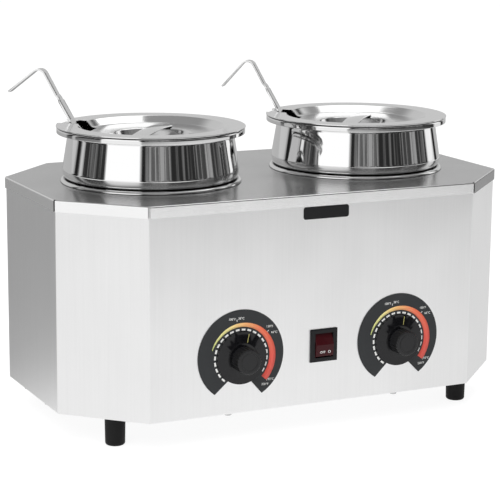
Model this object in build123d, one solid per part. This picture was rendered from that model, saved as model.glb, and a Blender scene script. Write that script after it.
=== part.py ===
from build123d import *
from math import atan2, copysign, cos, degrees, radians, sin, sqrt, tan
import os

# Twin-well countertop food warmer. Millimetres, +Z up, +X to the right, front at -Y.
# The origin is on the counter, under the middle of the casing.

# Casing
casing_length = 480.0
casing_depth = 278.0
corner_cut = 67.0
casing_height = 205.0
ground_clearance = 30.0
casing_sheet = 1.0
deck_skirt_drop = 11.0
skirt_clearance = 0.3
skirt_slot = 2.0
body_bend_radius = 2.0
body_foot_radius = 1.4
bottom_flange = 11.0

# Wells: rolled bead on the deck, straight wall, flat floor
well_spacing = 228.0
well_y = -2.0
well_bore_radius = 82.4
well_bead_radius = 3.2
well_depth = 160.0
well_floor_bend = 12.0
well_sheet = 0.9
deck_hole_clearance = 0.3

# Pots: heights are measured from the deck, up or down
pot_sheet = 1.0
pot_floor_gap = 10.0
pot_foot_radius = 76.0
pot_floor_bend = 10.0
pot_wall_radius = 78.5
pot_join_radius = 3.0
pot_shoulder_radius = 14.0
pot_belly_radius = 86.7
pot_crown_radius = 10.0
pot_cone_lean = 9.2
pot_neck_rise = 45.0
pot_neck_bend = 6.0
pot_rim_rise = 53.3
pot_rim_radius = 92.0
pot_rim_bend = 1.5
pot_lip_drop = 5.5
pot_lip_bend = 1.0
seat_clearance = 0.3

# Lids: drops are measured from the top of the flange
lid_sheet = 0.9
lid_flange_radius = 92.5
lid_flange_inner_radius = 72.0
lid_floor_radius = 65.5
lid_floor_drop = 6.75
lid_well_radius = 39.5
lid_well_edge_drop = 8.3
lid_well_floor_radius = 33.0
lid_well_drop = 21.0
lid_bend = 2.0
lid_well_bend = 6.0
lid_notch_width = 26.0
lid_notch_reach = 59.0
lid_notch_corner = 3.0
notch_direction = 141.0

# Lid handle: a low strap across the sunk middle
lid_handle_width = 16.0
lid_handle_span = 96.0
lid_handle_rise = 2.2
lid_handle_thickness = 1.5
lid_handle_direction = 51.0

# Ladles: a strip handle that leans on the pot's rim, and a round bowl on the pot's floor
ladle_lean = 27.0
ladle_neck_rise = 5.0
ladle_neck_lean = 30.0
ladle_thickness = 1.6
ladle_shank_width = 14.0
ladle_hook_width = 10.5
ladle_shoulder_cut = 1.6
ladle_foot_corner = 4.5
ladle_bowl_radius = 30.0
ladle_bowl_collar = 4.0
ladle_bowl_sheet = 1.0
ladle_weld_length = 9.0
ladle_jog_length = 3.0
ladle_jog_angle = 16.0
ladle_jog_bend = 1.6
ladle_hook_bend = 7.2
left_ladle_kink = 29.6
right_ladle_kink = 31.5
ladle_hook_lean = 29.0
ladle_hook_rise = 32.3
ladle_hook_fall = 42.6
left_hook_fall_angle = 51.7
right_hook_fall_angle = 41.5

# Thermostats behind the front wall
left_shaft_x = -79.7
right_shaft_x = 90.2
shaft_rise = 54.5
shaft_radius = 3.0
shaft_flat = 2.2
shaft_fit = 0.05
shaft_reach = 16.0
shaft_depth = 9.0
thermostat_width = 44.0
thermostat_height = 37.0
thermostat_depth = 34.0
thermostat_edge = 3.0
bushing_radius = 4.75
bushing_reach = 5.0
bushing_hole_clearance = 0.25
bushing_nut_width = 14.0
bushing_nut_thickness = 2.5

# Sensing bulbs beside the wells
bulb_radius = 3.25
bulb_length = 60.0
capillary_radius = 0.8
capillary_rise = 12.0
capillary_bend = 6.0
clip_sheet = 0.8
clip_height = 8.0
clip_wing = 6.0
contact_gap = 0.3
flush_gap = 0.1

# Dial plates
dial_plate_radius = 44.5
dial_plate_rise = 1.7
dial_plate_sheet = 0.8
dial_gap_angle = 90.0
dial_gap_drop = 10.8
left_dial_turn = -4.0
right_dial_turn = 0.0

# Knobs: thin skirt, collar and fluted grip
knob_skirt_radius = 25.5
knob_skirt_edge = 1.6
knob_collar_radius = 15.0
knob_collar_rise = 1.6
knob_collar_height = 1.4
knob_grip_radius = 12.3
knob_length = 18.2
knob_plate_gap = 1.0
knob_flute_count = 24
knob_flute_radius = 1.0
knob_flute_depth = 0.5
knob_face_bend = 1.0
knob_ring_radius = 8.0
knob_ring_width = 0.8
knob_ring_depth = 0.3
knob_nut_clearance = 1.2

# Rocker switch
switch_x = 8.2
switch_rise = 57.4
bezel_width = 28.8
bezel_height = 32.2
bezel_thickness = 2.0
bezel_edge = 0.8
switch_housing_width = 22.4
switch_housing_height = 28.0
switch_housing_depth = 24.0
switch_cutout_clearance = 0.2
window_width = 19.5
window_height = 24.0
window_depth = 12.5
rocker_side_clearance = 0.3
rocker_end_clearance = 0.35
rocker_pivot_depth = 4.5
rocker_facet_angle = 15.0
rocker_corner_angle = 71.0
rocker_back = 3.0
rocker_tilt = 10.0
rocker_pin_radius = 1.25
rocker_pin_length = 0.9
rocker_pin_fit = 0.05
blade_width = 6.3
blade_thickness = 0.8
blade_length = 8.0
blade_spacing = 8.5

# Heating elements under the wells
element_ring_radius = 52.0
element_tube_radius = 3.25
element_gap_angle = 50.0
element_leg = 16.0
clamp_radius = 60.0
clamp_sheet = 1.5
stud_radius = 3.0
stud_length = 16.0
stud_hole_clearance = 0.3
stud_nut_width = 10.0
stud_nut_thickness = 5.0

# Back panel, its air slots and the cord bushing
back_window_length = 296.0
back_window_height = 126.0
back_window_rise = 92.0
back_panel_lap = 12.0
back_screw_columns = 3
air_slot_width = 3.5
air_slot_length = 32.0
air_slot_pitch = 12.0
back_slot_count = 10
bushing_inset = 28.0
bushing_rise = 50.0
cord_bushing_bore = 4.5
cord_bushing_radius = 8.0
cord_bushing_lip = 2.0
cord_bushing_lip_width = 3.0
cord_bushing_length = 12.0

# Bottom plate and terminal block
bottom_plate_clearance = 0.5
bottom_slot_count = 8
bottom_slot_x = 114.0
bottom_screw_x = 90.0
bottom_screw_y = 30.0
block_length = 46.0
block_width = 20.0
block_height = 16.0
block_y = 96.0
block_ways = 3
block_pitch = 11.0
block_wire_radius = 2.2
block_screw_x = 19.5

# Rubber feet
foot_end_inset = 51.5
foot_front_inset = 48.0
foot_top_radius = 10.0
foot_bottom_radius = 9.5
foot_edge = 2.5
foot_recess_radius = 5.5
foot_recess_depth = 20.0

# Fasteners: shank radius, head radius, head height
foot_screw_radius = 2.5
foot_screw_head_radius = 4.6
foot_screw_head = 3.0
foot_nut_width = 8.0
foot_nut_thickness = 4.0
panel_screw_radius = 1.9
panel_screw_head_radius = 3.6
panel_screw_head = 2.2
panel_screw_length = 8.0
screw_hole_clearance = 0.2

# Places that follow from the sizes
pot_floor_drop = well_depth - pot_floor_gap
foot_x = casing_length / 2 - foot_end_inset
foot_y = casing_depth / 2 - foot_front_inset
bushing_x = back_window_length / 2 - bushing_inset
body_inset = casing_sheet + skirt_clearance
body_inner_inset = body_inset + casing_sheet
deck_bend_radius = casing_sheet + skirt_clearance
deck_z = ground_clearance + casing_height
floor_z = ground_clearance + casing_sheet
plate_top_z = floor_z + casing_sheet
front_y = -(casing_depth / 2 - body_inset)
back_y = casing_depth / 2 - body_inset
shaft_z = ground_clearance + shaft_rise
switch_z = ground_clearance + switch_rise
side_sign = {"left": -1, "right": 1}
shaft_x = {"left": left_shaft_x, "right": right_shaft_x}
dial_turn = {"left": left_dial_turn, "right": right_dial_turn}
ladle_kink = {"left": left_ladle_kink, "right": right_ladle_kink}
hook_fall_angle = {"left": left_hook_fall_angle, "right": right_hook_fall_angle}

well_outer_radius = well_bore_radius + well_sheet
well_bead_centre = well_bore_radius + well_bead_radius
pot_shoulder_centre = pot_belly_radius - pot_shoulder_radius
pot_belly_rise = sqrt(
    (pot_shoulder_radius + well_bead_radius + seat_clearance) ** 2
    - (well_bead_centre - pot_shoulder_centre) ** 2
)
pot_crown_centre = pot_belly_radius - pot_crown_radius
pot_cone_foot_radius = pot_crown_centre + pot_crown_radius * cos(radians(pot_cone_lean))
pot_cone_foot_rise = pot_belly_rise + pot_crown_radius * sin(radians(pot_cone_lean))
pot_cone_height = pot_neck_rise - pot_cone_foot_rise
pot_neck_radius = pot_cone_foot_radius - pot_cone_height * tan(radians(pot_cone_lean))
lid_top_rise = pot_rim_rise + seat_clearance + lid_sheet
plate_face = dial_plate_sheet
knob_back = plate_face + knob_plate_gap


def well_place(side):
    """Location on the deck's top, at the middle of a well."""
    return Pos(side_sign[side] * well_spacing / 2, well_y, deck_z)


def level(height):
    """Horizontal plane at a height above the counter."""
    return Plane.XY.offset(height)


def front_place(x, z):
    """Location on the outside of the front wall: local y is up and local z points out."""
    return Plane(origin=(x, front_y, z), x_dir=(1, 0, 0), z_dir=(0, -1, 0)).location


def back_place(x, z):
    """Location on the outside of the back wall: local y is up and local z points out."""
    return Plane(origin=(x, back_y, z), x_dir=(-1, 0, 0), z_dir=(0, 1, 0)).location


def rod(radius, low, high):
    """Upright cylinder between two local heights."""
    return Pos(0, 0, low) * Cylinder(radius, high - low, align=(Align.CENTER, Align.CENTER, Align.MIN))


def hex_nut(width, low, thickness, bore):
    """Hexagonal nut on the local z axis, with its lower face at a local height."""
    outline = RegularPolygon(width / 2, 6, major_radius=False) - Circle(bore)
    return extrude(Plane.XY.offset(low) * outline, thickness)


def pan_screw(shank_radius, head_radius, head_height, shank_length):
    """Screw on the local z axis: the head stands above z = 0 and the shank goes down."""
    head = rod(head_radius, 0, head_height)
    head = fillet(head.edges().sort_by(Axis.Z)[-1], head_height / 2)
    return head + rod(shank_radius, -shank_length, 0)


def turned_sheet(outline, sheet, side):
    """Sheet of revolution about the local z axis, laid on one side of its outline."""
    section = Face(Wire(outline.edges()).offset_2d(sheet, side=side))
    return revolve(Plane.XZ * section, Axis.Z, 360)


def octagon_corners(inset):
    """Corners of the casing's plan, moved in from the deck's edge, in order round the plan."""
    half_x = casing_length / 2 - inset
    half_y = casing_depth / 2 - inset
    cut = corner_cut - inset * (2 - sqrt(2))
    quarter = [(half_x, half_y - cut), (half_x - cut, half_y)]
    half = quarter + [(-x, y) for x, y in reversed(quarter)]
    return half + [(-x, -y) for x, y in half]


def octagon(inset, bend=0.0):
    """Plan of the casing with its corners bent to a radius."""
    face = Polygon(*octagon_corners(inset), align=None)
    return fillet(face.vertices(), bend) if bend > 0 else face


def deck_top():
    """Deck folded down along eight edges, with open slots between the folds and two well holes."""
    low = level(deck_z - deck_skirt_drop)
    deck = extrude(low * octagon(0), deck_skirt_drop)
    deck = fillet(deck.faces().sort_by(Axis.Z)[-1].edges(), deck_bend_radius)
    inside = extrude(low * octagon(casing_sheet), deck_skirt_drop - casing_sheet)
    inside = fillet(inside.faces().sort_by(Axis.Z)[-1].edges(), skirt_clearance)
    deck -= inside
    slot_depth = 2 * (casing_sheet + deck_bend_radius)
    half_turn = 45 / 2
    for x, y in octagon_corners(0):
        from_x = radians(half_turn if abs(y) < casing_depth / 2 else 90 - half_turn)
        outward = degrees(atan2(copysign(sin(from_x), y), copysign(cos(from_x), x)))
        slot = Box(slot_depth, skirt_slot, 4 * deck_skirt_drop)
        deck -= Pos(x, y, deck_z) * Rot(0, 0, outward) * slot
    hole_radius = well_outer_radius + deck_hole_clearance
    for side in side_sign:
        deck -= well_place(side) * rod(hole_radius, -deck_skirt_drop, deck_skirt_drop)
    return deck


def bottom_screw_places():
    """Middles of the screws along the in-turned flange."""
    flange_x = casing_length / 2 - body_inset - bottom_flange / 2
    flange_y = casing_depth / 2 - body_inset - bottom_flange / 2
    front_back = [(x, y) for x in (-bottom_screw_x, bottom_screw_x) for y in (-flange_y, flange_y)]
    ends = [(x, y) for x in (-flange_x, flange_x) for y in (-bottom_screw_y, bottom_screw_y)]
    return front_back + ends


def back_screw_places():
    """Screws along the upper and lower lap of the back panel, as x and z."""
    reach = back_window_length / 2
    step = 2 * reach / (back_screw_columns - 1)
    rise = back_window_height / 2 + back_panel_lap / 2
    middle = ground_clearance + back_window_rise
    columns = [-reach + step * i for i in range(back_screw_columns)]
    return [(x, middle + rise * sign) for x in columns for sign in (-1, 1)]


def body_shell():
    """Bent sheet wall with an in-turned flange below, and openings for controls and service."""
    wall_height = casing_height - casing_sheet
    body = extrude(level(ground_clearance) * octagon(body_inset, body_bend_radius), wall_height)
    body = fillet(body.faces().sort_by(Axis.Z)[0].edges(), body_foot_radius)
    hollow_plan = octagon(body_inner_inset, body_bend_radius - casing_sheet)
    body -= extrude(level(floor_z) * hollow_plan, wall_height)
    body -= extrude(level(0) * octagon(body_inset + bottom_flange), floor_z)
    through = 4 * casing_sheet
    for side in side_sign:
        hole = rod(bushing_radius + bushing_hole_clearance, -through, through)
        body -= front_place(shaft_x[side], shaft_z) * hole
    cutout_width = switch_housing_width + 2 * switch_cutout_clearance
    cutout_height = switch_housing_height + 2 * switch_cutout_clearance
    body -= front_place(switch_x, switch_z) * Box(cutout_width, cutout_height, through)
    window = Box(back_window_length, back_window_height, through)
    body -= back_place(0, ground_clearance + back_window_rise) * window
    screw_hole = rod(panel_screw_radius + screw_hole_clearance, -through, through)
    for x, z in back_screw_places():
        body -= back_place(x, z) * screw_hole
    for x, y in bottom_screw_places():
        body -= Pos(x, y, ground_clearance) * screw_hole
    return body


def back_panel():
    """Service panel over the window in the back, with air slots and the hole of the bushing."""
    width = back_window_length + 2 * back_panel_lap
    height = back_window_height + 2 * back_panel_lap
    outline = Rectangle(width, height)
    outline = fillet(outline.vertices(), back_panel_lap / 2)
    first = -air_slot_pitch * (back_slot_count - 1) / 2
    for i in range(back_slot_count):
        slot = Rot(0, 0, 90) * SlotOverall(air_slot_length, air_slot_width)
        outline -= Pos(first + air_slot_pitch * i, 0) * slot
    outline -= Pos(-bushing_x, bushing_rise - back_window_rise) * Circle(cord_bushing_radius)
    for x, z in back_screw_places():
        hole = Circle(panel_screw_radius + screw_hole_clearance)
        outline -= Pos(-x, z - ground_clearance - back_window_rise) * hole
    return back_place(0, ground_clearance + back_window_rise) * extrude(outline, casing_sheet)


def back_panel_screws():
    """Pan head screws through the back panel and the back wall."""
    screw = pan_screw(panel_screw_radius, panel_screw_head_radius, panel_screw_head, panel_screw_length)
    return Compound([back_place(x, z) * Pos(0, 0, casing_sheet) * screw for x, z in back_screw_places()])


def cord_bushing():
    """Grommet for the mains lead: a tube through the back panel with a lip on each side."""
    lip_radius = cord_bushing_radius + cord_bushing_lip_width
    tube = rod(cord_bushing_radius - flush_gap, casing_sheet - cord_bushing_length, casing_sheet)
    tube += rod(lip_radius, casing_sheet, casing_sheet + cord_bushing_lip)
    tube += rod(lip_radius, -cord_bushing_lip, 0)
    tube -= rod(cord_bushing_bore, -cord_bushing_length, cord_bushing_length)
    return back_place(bushing_x, ground_clearance + bushing_rise) * tube


def bottom_plate():
    """Bottom plate that lies on the in-turned flange, with air slots under both wells."""
    outline = octagon(body_inner_inset + bottom_plate_clearance)
    first = -air_slot_pitch * (bottom_slot_count - 1) / 2
    for sign in side_sign.values():
        for i in range(bottom_slot_count):
            slot = Rot(0, 0, 90) * SlotOverall(air_slot_length, air_slot_width)
            outline -= Pos(sign * bottom_slot_x + first + air_slot_pitch * i, well_y) * slot
    screw_hole = Circle(panel_screw_radius + screw_hole_clearance)
    for x, y in bottom_screw_places():
        outline -= Pos(x, y) * screw_hole
    for x, y in foot_places():
        outline -= Pos(x, y) * Circle(foot_screw_radius + screw_hole_clearance)
    for sign in (-1, 1):
        outline -= Pos(sign * block_screw_x, block_y) * screw_hole
    return extrude(level(floor_z) * outline, casing_sheet)


def bottom_plate_screws():
    """Pan head screws up through the flange and the bottom plate."""
    screw = pan_screw(panel_screw_radius, panel_screw_head_radius, panel_screw_head, panel_screw_length)
    upside_down = Rot(180, 0, 0)
    return Compound([Pos(x, y, ground_clearance) * upside_down * screw for x, y in bottom_screw_places()])


def foot_places():
    """Middles of the feet: front left, front right, back left, back right."""
    return [(x, y) for y in (-foot_y, foot_y) for x in (-foot_x, foot_x)]


def rubber_foot():
    """Foot with a rounded lower edge and a recess for its screw, on the counter."""
    section = Polygon(
        (0, 0), (foot_bottom_radius, 0), (foot_top_radius, floor_z), (0, floor_z), align=None
    )
    foot = revolve(Plane.XZ * section, Axis.Z, 360)
    foot = fillet(foot.edges().sort_by(Axis.Z)[0], foot_edge)
    foot -= rod(foot_recess_radius, 0, foot_recess_depth)
    return foot - rod(foot_screw_radius + screw_hole_clearance, 0, 2 * floor_z)


def foot_screws():
    """Screws up through the feet, with their heads in the recesses."""
    reach = plate_top_z - foot_recess_depth + foot_nut_thickness + 1
    screw = pan_screw(foot_screw_radius, foot_screw_head_radius, foot_screw_head, reach)
    upside_down = Rot(180, 0, 0)
    return Compound([Pos(x, y, foot_recess_depth) * upside_down * screw for x, y in foot_places()])


def foot_nuts():
    """Nuts of the feet, on the bottom plate."""
    bore = foot_screw_radius + screw_hole_clearance / 2
    nut = hex_nut(foot_nut_width, plate_top_z, foot_nut_thickness, bore)
    return Compound([Pos(x, y, 0) * nut for x, y in foot_places()])


def terminal_block():
    """Block for the mains lead on the bottom plate, with wire bores and screw shafts."""
    block = Box(block_length, block_width, block_height, align=(Align.CENTER, Align.CENTER, Align.MIN))
    for i in range(block_ways):
        x = (i - (block_ways - 1) / 2) * block_pitch
        wire_bore = Rot(90, 0, 0) * Cylinder(block_wire_radius, 2 * block_width)
        block -= Pos(x, 0, block_height / 2) * wire_bore
        block -= Pos(x, 0, block_height / 2) * rod(block_wire_radius, 0, block_height)
    screw_hole = rod(panel_screw_radius + screw_hole_clearance, 0, block_height)
    for sign in (-1, 1):
        block -= Pos(sign * block_screw_x, 0, 0) * screw_hole
    return Pos(0, block_y, plate_top_z) * block


def terminal_block_screws():
    """Two screws that hold the terminal block to the bottom plate."""
    length = block_height + casing_sheet
    screw = pan_screw(panel_screw_radius, panel_screw_head_radius, panel_screw_head, length)
    top = plate_top_z + block_height
    return Compound([Pos(sign * block_screw_x, block_y, top) * screw for sign in (-1, 1)])


def well(side):
    """Deep drawn well whose edge is rolled over the deck."""
    wall = FilletPolyline(
        (0, -well_depth), (well_outer_radius, -well_depth), (well_outer_radius, 0), radius=well_floor_bend
    )
    bead = CenterArc((well_bead_centre, 0), well_bead_radius - well_sheet, 180, -180)
    return well_place(side) * turned_sheet(wall + bead, well_sheet, Side.LEFT)


def pot_outline():
    """Outer line of a pot from the middle of its floor to the end of its turned-down lip."""
    join_centre = pot_wall_radius + pot_join_radius
    join_reach = pot_shoulder_radius + pot_join_radius
    join_rise = pot_belly_rise - sqrt(join_reach**2 - (join_centre - pot_shoulder_centre) ** 2)
    join_end = degrees(atan2(pot_belly_rise - join_rise, pot_shoulder_centre - join_centre))
    wall = FilletPolyline(
        (0, -pot_floor_drop),
        (pot_foot_radius, -pot_floor_drop),
        (pot_wall_radius, join_rise),
        radius=pot_floor_bend,
    )
    join = CenterArc((join_centre, join_rise), pot_join_radius, 180, join_end - 180)
    shoulder = CenterArc(
        (pot_shoulder_centre, pot_belly_rise), pot_shoulder_radius, join_end - 180, 180 - join_end
    )
    crown = CenterArc((pot_crown_centre, pot_belly_rise), pot_crown_radius, 0, pot_cone_lean)
    rim_under = pot_rim_rise - pot_sheet
    lip_radius = pot_rim_radius - pot_sheet
    neck = FilletPolyline(
        (pot_cone_foot_radius, pot_cone_foot_rise),
        (pot_neck_radius, pot_neck_rise),
        (pot_neck_radius, rim_under),
        (lip_radius, rim_under),
        (lip_radius, pot_rim_rise - pot_lip_drop),
        radius=[pot_neck_bend, pot_rim_bend, pot_lip_bend],
    )
    return wall + join + shoulder + crown + neck


def pot(side):
    """Pot whose shoulder sits on the well's bead."""
    return well_place(side) * turned_sheet(pot_outline(), pot_sheet, Side.LEFT)


def lid(side):
    """Lid with a wide flange, a sunk middle, a deeper round finger well and the ladle's notch."""
    outline = FilletPolyline(
        (0, -lid_well_drop),
        (lid_well_floor_radius, -lid_well_drop),
        (lid_well_radius, -lid_well_edge_drop),
        (lid_floor_radius, -lid_floor_drop),
        (lid_flange_inner_radius, 0),
        (lid_flange_radius, 0),
        radius=[lid_well_bend, lid_bend, lid_bend, lid_bend],
    )
    cover = turned_sheet(outline, lid_sheet, Side.RIGHT)
    notch_length = lid_flange_radius
    notch = Rectangle(notch_length, lid_notch_width, align=(Align.MIN, Align.CENTER))
    notch = fillet(notch.vertices().group_by(Axis.X)[0], lid_notch_corner)
    cutter = extrude(Plane.XY.offset(-lid_well_drop) * Pos(lid_notch_reach, 0) * notch, 2 * lid_well_drop)
    cover -= Rot(0, 0, notch_direction) * cutter
    return well_place(side) * Pos(0, 0, lid_top_rise) * cover


def lid_handle(side):
    """Low arched strap whose ends are welded to the lid's sunk floor."""
    half = lid_handle_span / 2
    slope = (lid_well_edge_drop - lid_floor_drop) / (lid_floor_radius - lid_well_radius)
    foot = -lid_well_edge_drop + (half - lid_well_radius) * slope + flush_gap
    arch = ThreePointArc((-half, foot), (0, foot + lid_handle_rise), (half, foot))
    section = Face(Wire(arch.edges()).offset_2d(lid_handle_thickness, side=Side.LEFT))
    strap = extrude(Plane.XZ * section, lid_handle_width / 2, both=True)
    return well_place(side) * Pos(0, 0, lid_top_rise) * Rot(0, 0, lid_handle_direction) * strap


def walk(start, steps):
    """Points of a path in the ladle's plane: each step is a lean from the vertical and a length."""
    points = [start]
    for lean, length in steps:
        across, up = points[-1]
        points.append((across + length * sin(radians(lean)), up + length * cos(radians(lean))))
    return points


def ladle_rest():
    """Middle of the ladle's strip where it leans on the pot's inner rim bend."""
    bend_radius = pot_rim_bend + pot_sheet
    bend_centre = (pot_neck_radius + pot_rim_bend, pot_rim_rise - pot_sheet - pot_rim_bend)
    lean = radians(ladle_lean)
    edge_sag = pot_neck_radius - sqrt(pot_neck_radius**2 - (ladle_shank_width / 2) ** 2)
    away = bend_radius + seat_clearance + edge_sag * cos(lean) + ladle_thickness / 2
    return bend_centre[0] - away * cos(lean), bend_centre[1] + away * sin(lean)


def ladle_bowl_drop():
    """Distance down the strip, from its rest on the rim to the level of the bowl's edge."""
    lean = radians(ladle_lean)
    offset = ladle_bowl_radius + contact_gap + ladle_thickness / 2
    bowl_rise = -pot_floor_drop + pot_sheet + seat_clearance + ladle_bowl_radius
    return (ladle_rest()[1] + offset * sin(lean) - bowl_rise) / cos(lean)


def ladle_plane(side):
    """Upright plane through the pot's axis: local x points to the notch and local y is up."""
    turn = radians(notch_direction)
    return Plane(
        origin=(side_sign[side] * well_spacing / 2, well_y, deck_z),
        x_dir=(cos(turn), sin(turn), 0),
        z_dir=(sin(turn), -cos(turn), 0),
    )


def end_corners(strip):
    """Short edges across the thickness of a ladle's strip, from the lowest up."""
    short = [e for e in strip.edges() if abs(e.length - ladle_thickness) < ladle_thickness / 100]
    return ShapeList(short).sort_by(Axis.Z)


def ladle_shank(side, low, neck, kink):
    """Wide part of the handle, bent a little above the rim, with a rounded foot and cut shoulders."""
    half = ladle_thickness / 2
    middle_lean = (ladle_lean + ladle_neck_lean) / 2
    reach = half / cos(radians(middle_lean - ladle_lean))
    stations = [(low, ladle_lean, half), (neck, middle_lean, reach), (kink, ladle_neck_lean, half)]
    outer = [walk(point, [(lean + 90, away)])[-1] for point, lean, away in stations]
    inner = [walk(point, [(lean + 90, -away)])[-1] for point, lean, away in stations]
    section = Polygon(*outer, *reversed(inner), align=None)
    shank = extrude(ladle_plane(side) * section, ladle_shank_width / 2, both=True)
    foot_corners = end_corners(shank)[:2]
    shank = fillet(foot_corners, ladle_foot_corner)
    return chamfer(end_corners(shank)[-2:], ladle_shoulder_cut)


def ladle_handle(side):
    """Strip handle: shank, joggle with shoulders, and a narrower strip bent to a hook."""
    rest = ladle_rest()
    low = walk(rest, [(ladle_lean, -(ladle_bowl_drop() + ladle_weld_length))])[-1]
    neck = walk(rest, [(ladle_lean, ladle_neck_rise)])[-1]
    kink = walk(neck, [(ladle_neck_lean, ladle_kink[side] - ladle_neck_rise)])[-1]
    steps = [
        (ladle_neck_lean, ladle_jog_length),
        (ladle_neck_lean + ladle_jog_angle, ladle_jog_length),
        (ladle_hook_lean, ladle_hook_rise),
        (180 - hook_fall_angle[side], ladle_hook_fall),
    ]
    start = walk(kink, [(ladle_neck_lean, -ladle_jog_length)])[-1]
    path = FilletPolyline(*walk(start, steps), radius=[ladle_jog_bend, ladle_jog_bend, ladle_hook_bend])
    section = Wire(path.edges()).offset_2d(ladle_thickness / 2)
    hook = extrude(ladle_plane(side) * Face(section), ladle_hook_width / 2, both=True)
    return ladle_shank(side, low, neck, kink) + hook


def ladle_bowl(side):
    """Round ladle bowl with a short collar, tilted with the handle and standing on the pot's floor."""
    outline = CenterArc((0, 0), ladle_bowl_radius, -90, 90)
    outline += Line((ladle_bowl_radius, 0), (ladle_bowl_radius, ladle_bowl_collar))
    bowl = turned_sheet(outline, ladle_bowl_sheet, Side.LEFT)
    lean = radians(ladle_lean)
    along, up = walk(ladle_rest(), [(ladle_lean, -ladle_bowl_drop())])[-1]
    offset = ladle_bowl_radius + contact_gap + ladle_thickness / 2
    centre = ladle_plane(side).from_local_coords(
        Vector(along - offset * cos(lean), up + offset * sin(lean), 0)
    )
    axis = ladle_plane(side).x_dir * sin(lean) + Vector(0, 0, cos(lean))
    return Plane(origin=centre, x_dir=ladle_plane(side).z_dir, z_dir=axis).location * bowl


def heating_element(side):
    """Tubular ring element pressed under the well, with two legs turned down."""
    tube = Pos(element_ring_radius, 0, 0) * Rot(90, 0, 0) * Circle(element_tube_radius)
    ring = revolve(tube, Axis.Z, 360 - element_gap_angle)
    for angle in (0, 360 - element_gap_angle):
        leg = Sphere(element_tube_radius) + rod(element_tube_radius, -element_leg, 0)
        ring += Rot(0, 0, angle) * Pos(element_ring_radius, 0, 0) * leg
    facing_back = Rot(0, 0, 90 + element_gap_angle / 2)
    drop = well_depth + contact_gap + element_tube_radius
    return well_place(side) * Pos(0, 0, -drop) * facing_back * ring


def clamp_top_drop():
    """Drop from the deck to the upper face of an element's clamp plate."""
    return well_depth + 2 * contact_gap + 2 * element_tube_radius


def element_clamp(side):
    """Round plate that presses the element to the well, cut away where the legs pass."""
    plate = Circle(clamp_radius) - Circle(stud_radius + stud_hole_clearance)
    slot_width = 2 * element_tube_radius + 2 * stud_hole_clearance
    for sign in (-1, 1):
        slot = Pos(element_ring_radius, 0) * Rectangle(slot_width, slot_width)
        slot += Pos(clamp_radius, 0) * Rectangle(2 * (clamp_radius - element_ring_radius), slot_width)
        plate -= Rot(0, 0, 90 + sign * element_gap_angle / 2) * slot
    low = Plane.XY.offset(-clamp_top_drop() - clamp_sheet)
    return well_place(side) * extrude(low * plate, clamp_sheet)


def clamp_studs():
    """Studs welded under the middle of each well's floor."""
    stud = rod(stud_radius, -well_depth - stud_length, -well_depth)
    return Compound([well_place(side) * stud for side in side_sign])


def clamp_nuts():
    """Nuts that hold the clamp plates on their studs."""
    low = -clamp_top_drop() - clamp_sheet - stud_nut_thickness
    nut = hex_nut(stud_nut_width, low, stud_nut_thickness, stud_radius + screw_hole_clearance / 2)
    return Compound([well_place(side) * nut for side in side_sign])


def thermostat(side):
    """Thermostat behind the front wall, with its bushing through wall and dial plate."""
    back = -casing_sheet - thermostat_depth
    box = Pos(0, 0, back) * Box(
        thermostat_width, thermostat_height, thermostat_depth, align=(Align.CENTER, Align.CENTER, Align.MIN)
    )
    box = fillet(box.edges().filter_by(Axis.Z), thermostat_edge)
    unit = box + rod(bushing_radius, -casing_sheet, bushing_reach)
    unit -= rod(shaft_radius + shaft_fit, -casing_sheet - shaft_depth, bushing_reach)
    return front_place(shaft_x[side], shaft_z) * unit


def thermostat_nuts():
    """Nuts on the bushings, over the dial plates."""
    bore = bushing_radius + screw_hole_clearance / 2
    nut = hex_nut(bushing_nut_width, plate_face, bushing_nut_thickness, bore)
    return Compound([front_place(shaft_x[side], shaft_z) * nut for side in side_sign])


def d_section(radius, flat):
    """Round section with one flat below its middle."""
    cut = Pos(0, -flat) * Rectangle(4 * radius, 2 * radius, align=(Align.CENTER, Align.MAX))
    return Circle(radius) - cut


def thermostat_shaft(side):
    """Shaft from inside the thermostat to the knob, with a flat on its outer end."""
    back = -casing_sheet - shaft_depth + contact_gap
    shaft = rod(shaft_radius, back, bushing_reach)
    end = d_section(shaft_radius, shaft_flat)
    shaft += extrude(Plane.XY.offset(bushing_reach) * end, shaft_reach - bushing_reach)
    return front_place(shaft_x[side], shaft_z) * shaft


def bulb_place(side):
    """Middle of a sensing bulb: above its thermostat, beside the well's wall."""
    middle = side_sign[side] * well_spacing / 2
    reach = well_outer_radius + contact_gap + bulb_radius
    across = shaft_x[side] - middle
    return shaft_x[side], well_y - sqrt(reach**2 - across**2)


def thermostat_bulb(side):
    """Sensing bulb beside the well, with the capillary tube down to the thermostat."""
    x, y = bulb_place(side)
    start_y = front_y + casing_sheet + thermostat_depth / 2
    start_z = shaft_z + thermostat_height / 2
    turn_z = start_z + capillary_rise
    foot_z = turn_z + capillary_rise
    path = FilletPolyline(
        (x, start_y, start_z), (x, start_y, turn_z), (x, y, turn_z), (x, y, foot_z), radius=capillary_bend
    )
    tube = sweep(Plane(origin=(x, start_y, start_z), z_dir=(0, 0, 1)) * Circle(capillary_radius), path=path)
    bulb = rod(bulb_radius, 0, bulb_length)
    bulb = fillet(bulb.edges().filter_by(GeomType.CIRCLE), bulb_radius / 2)
    return tube + Pos(x, y, foot_z) * bulb


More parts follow.
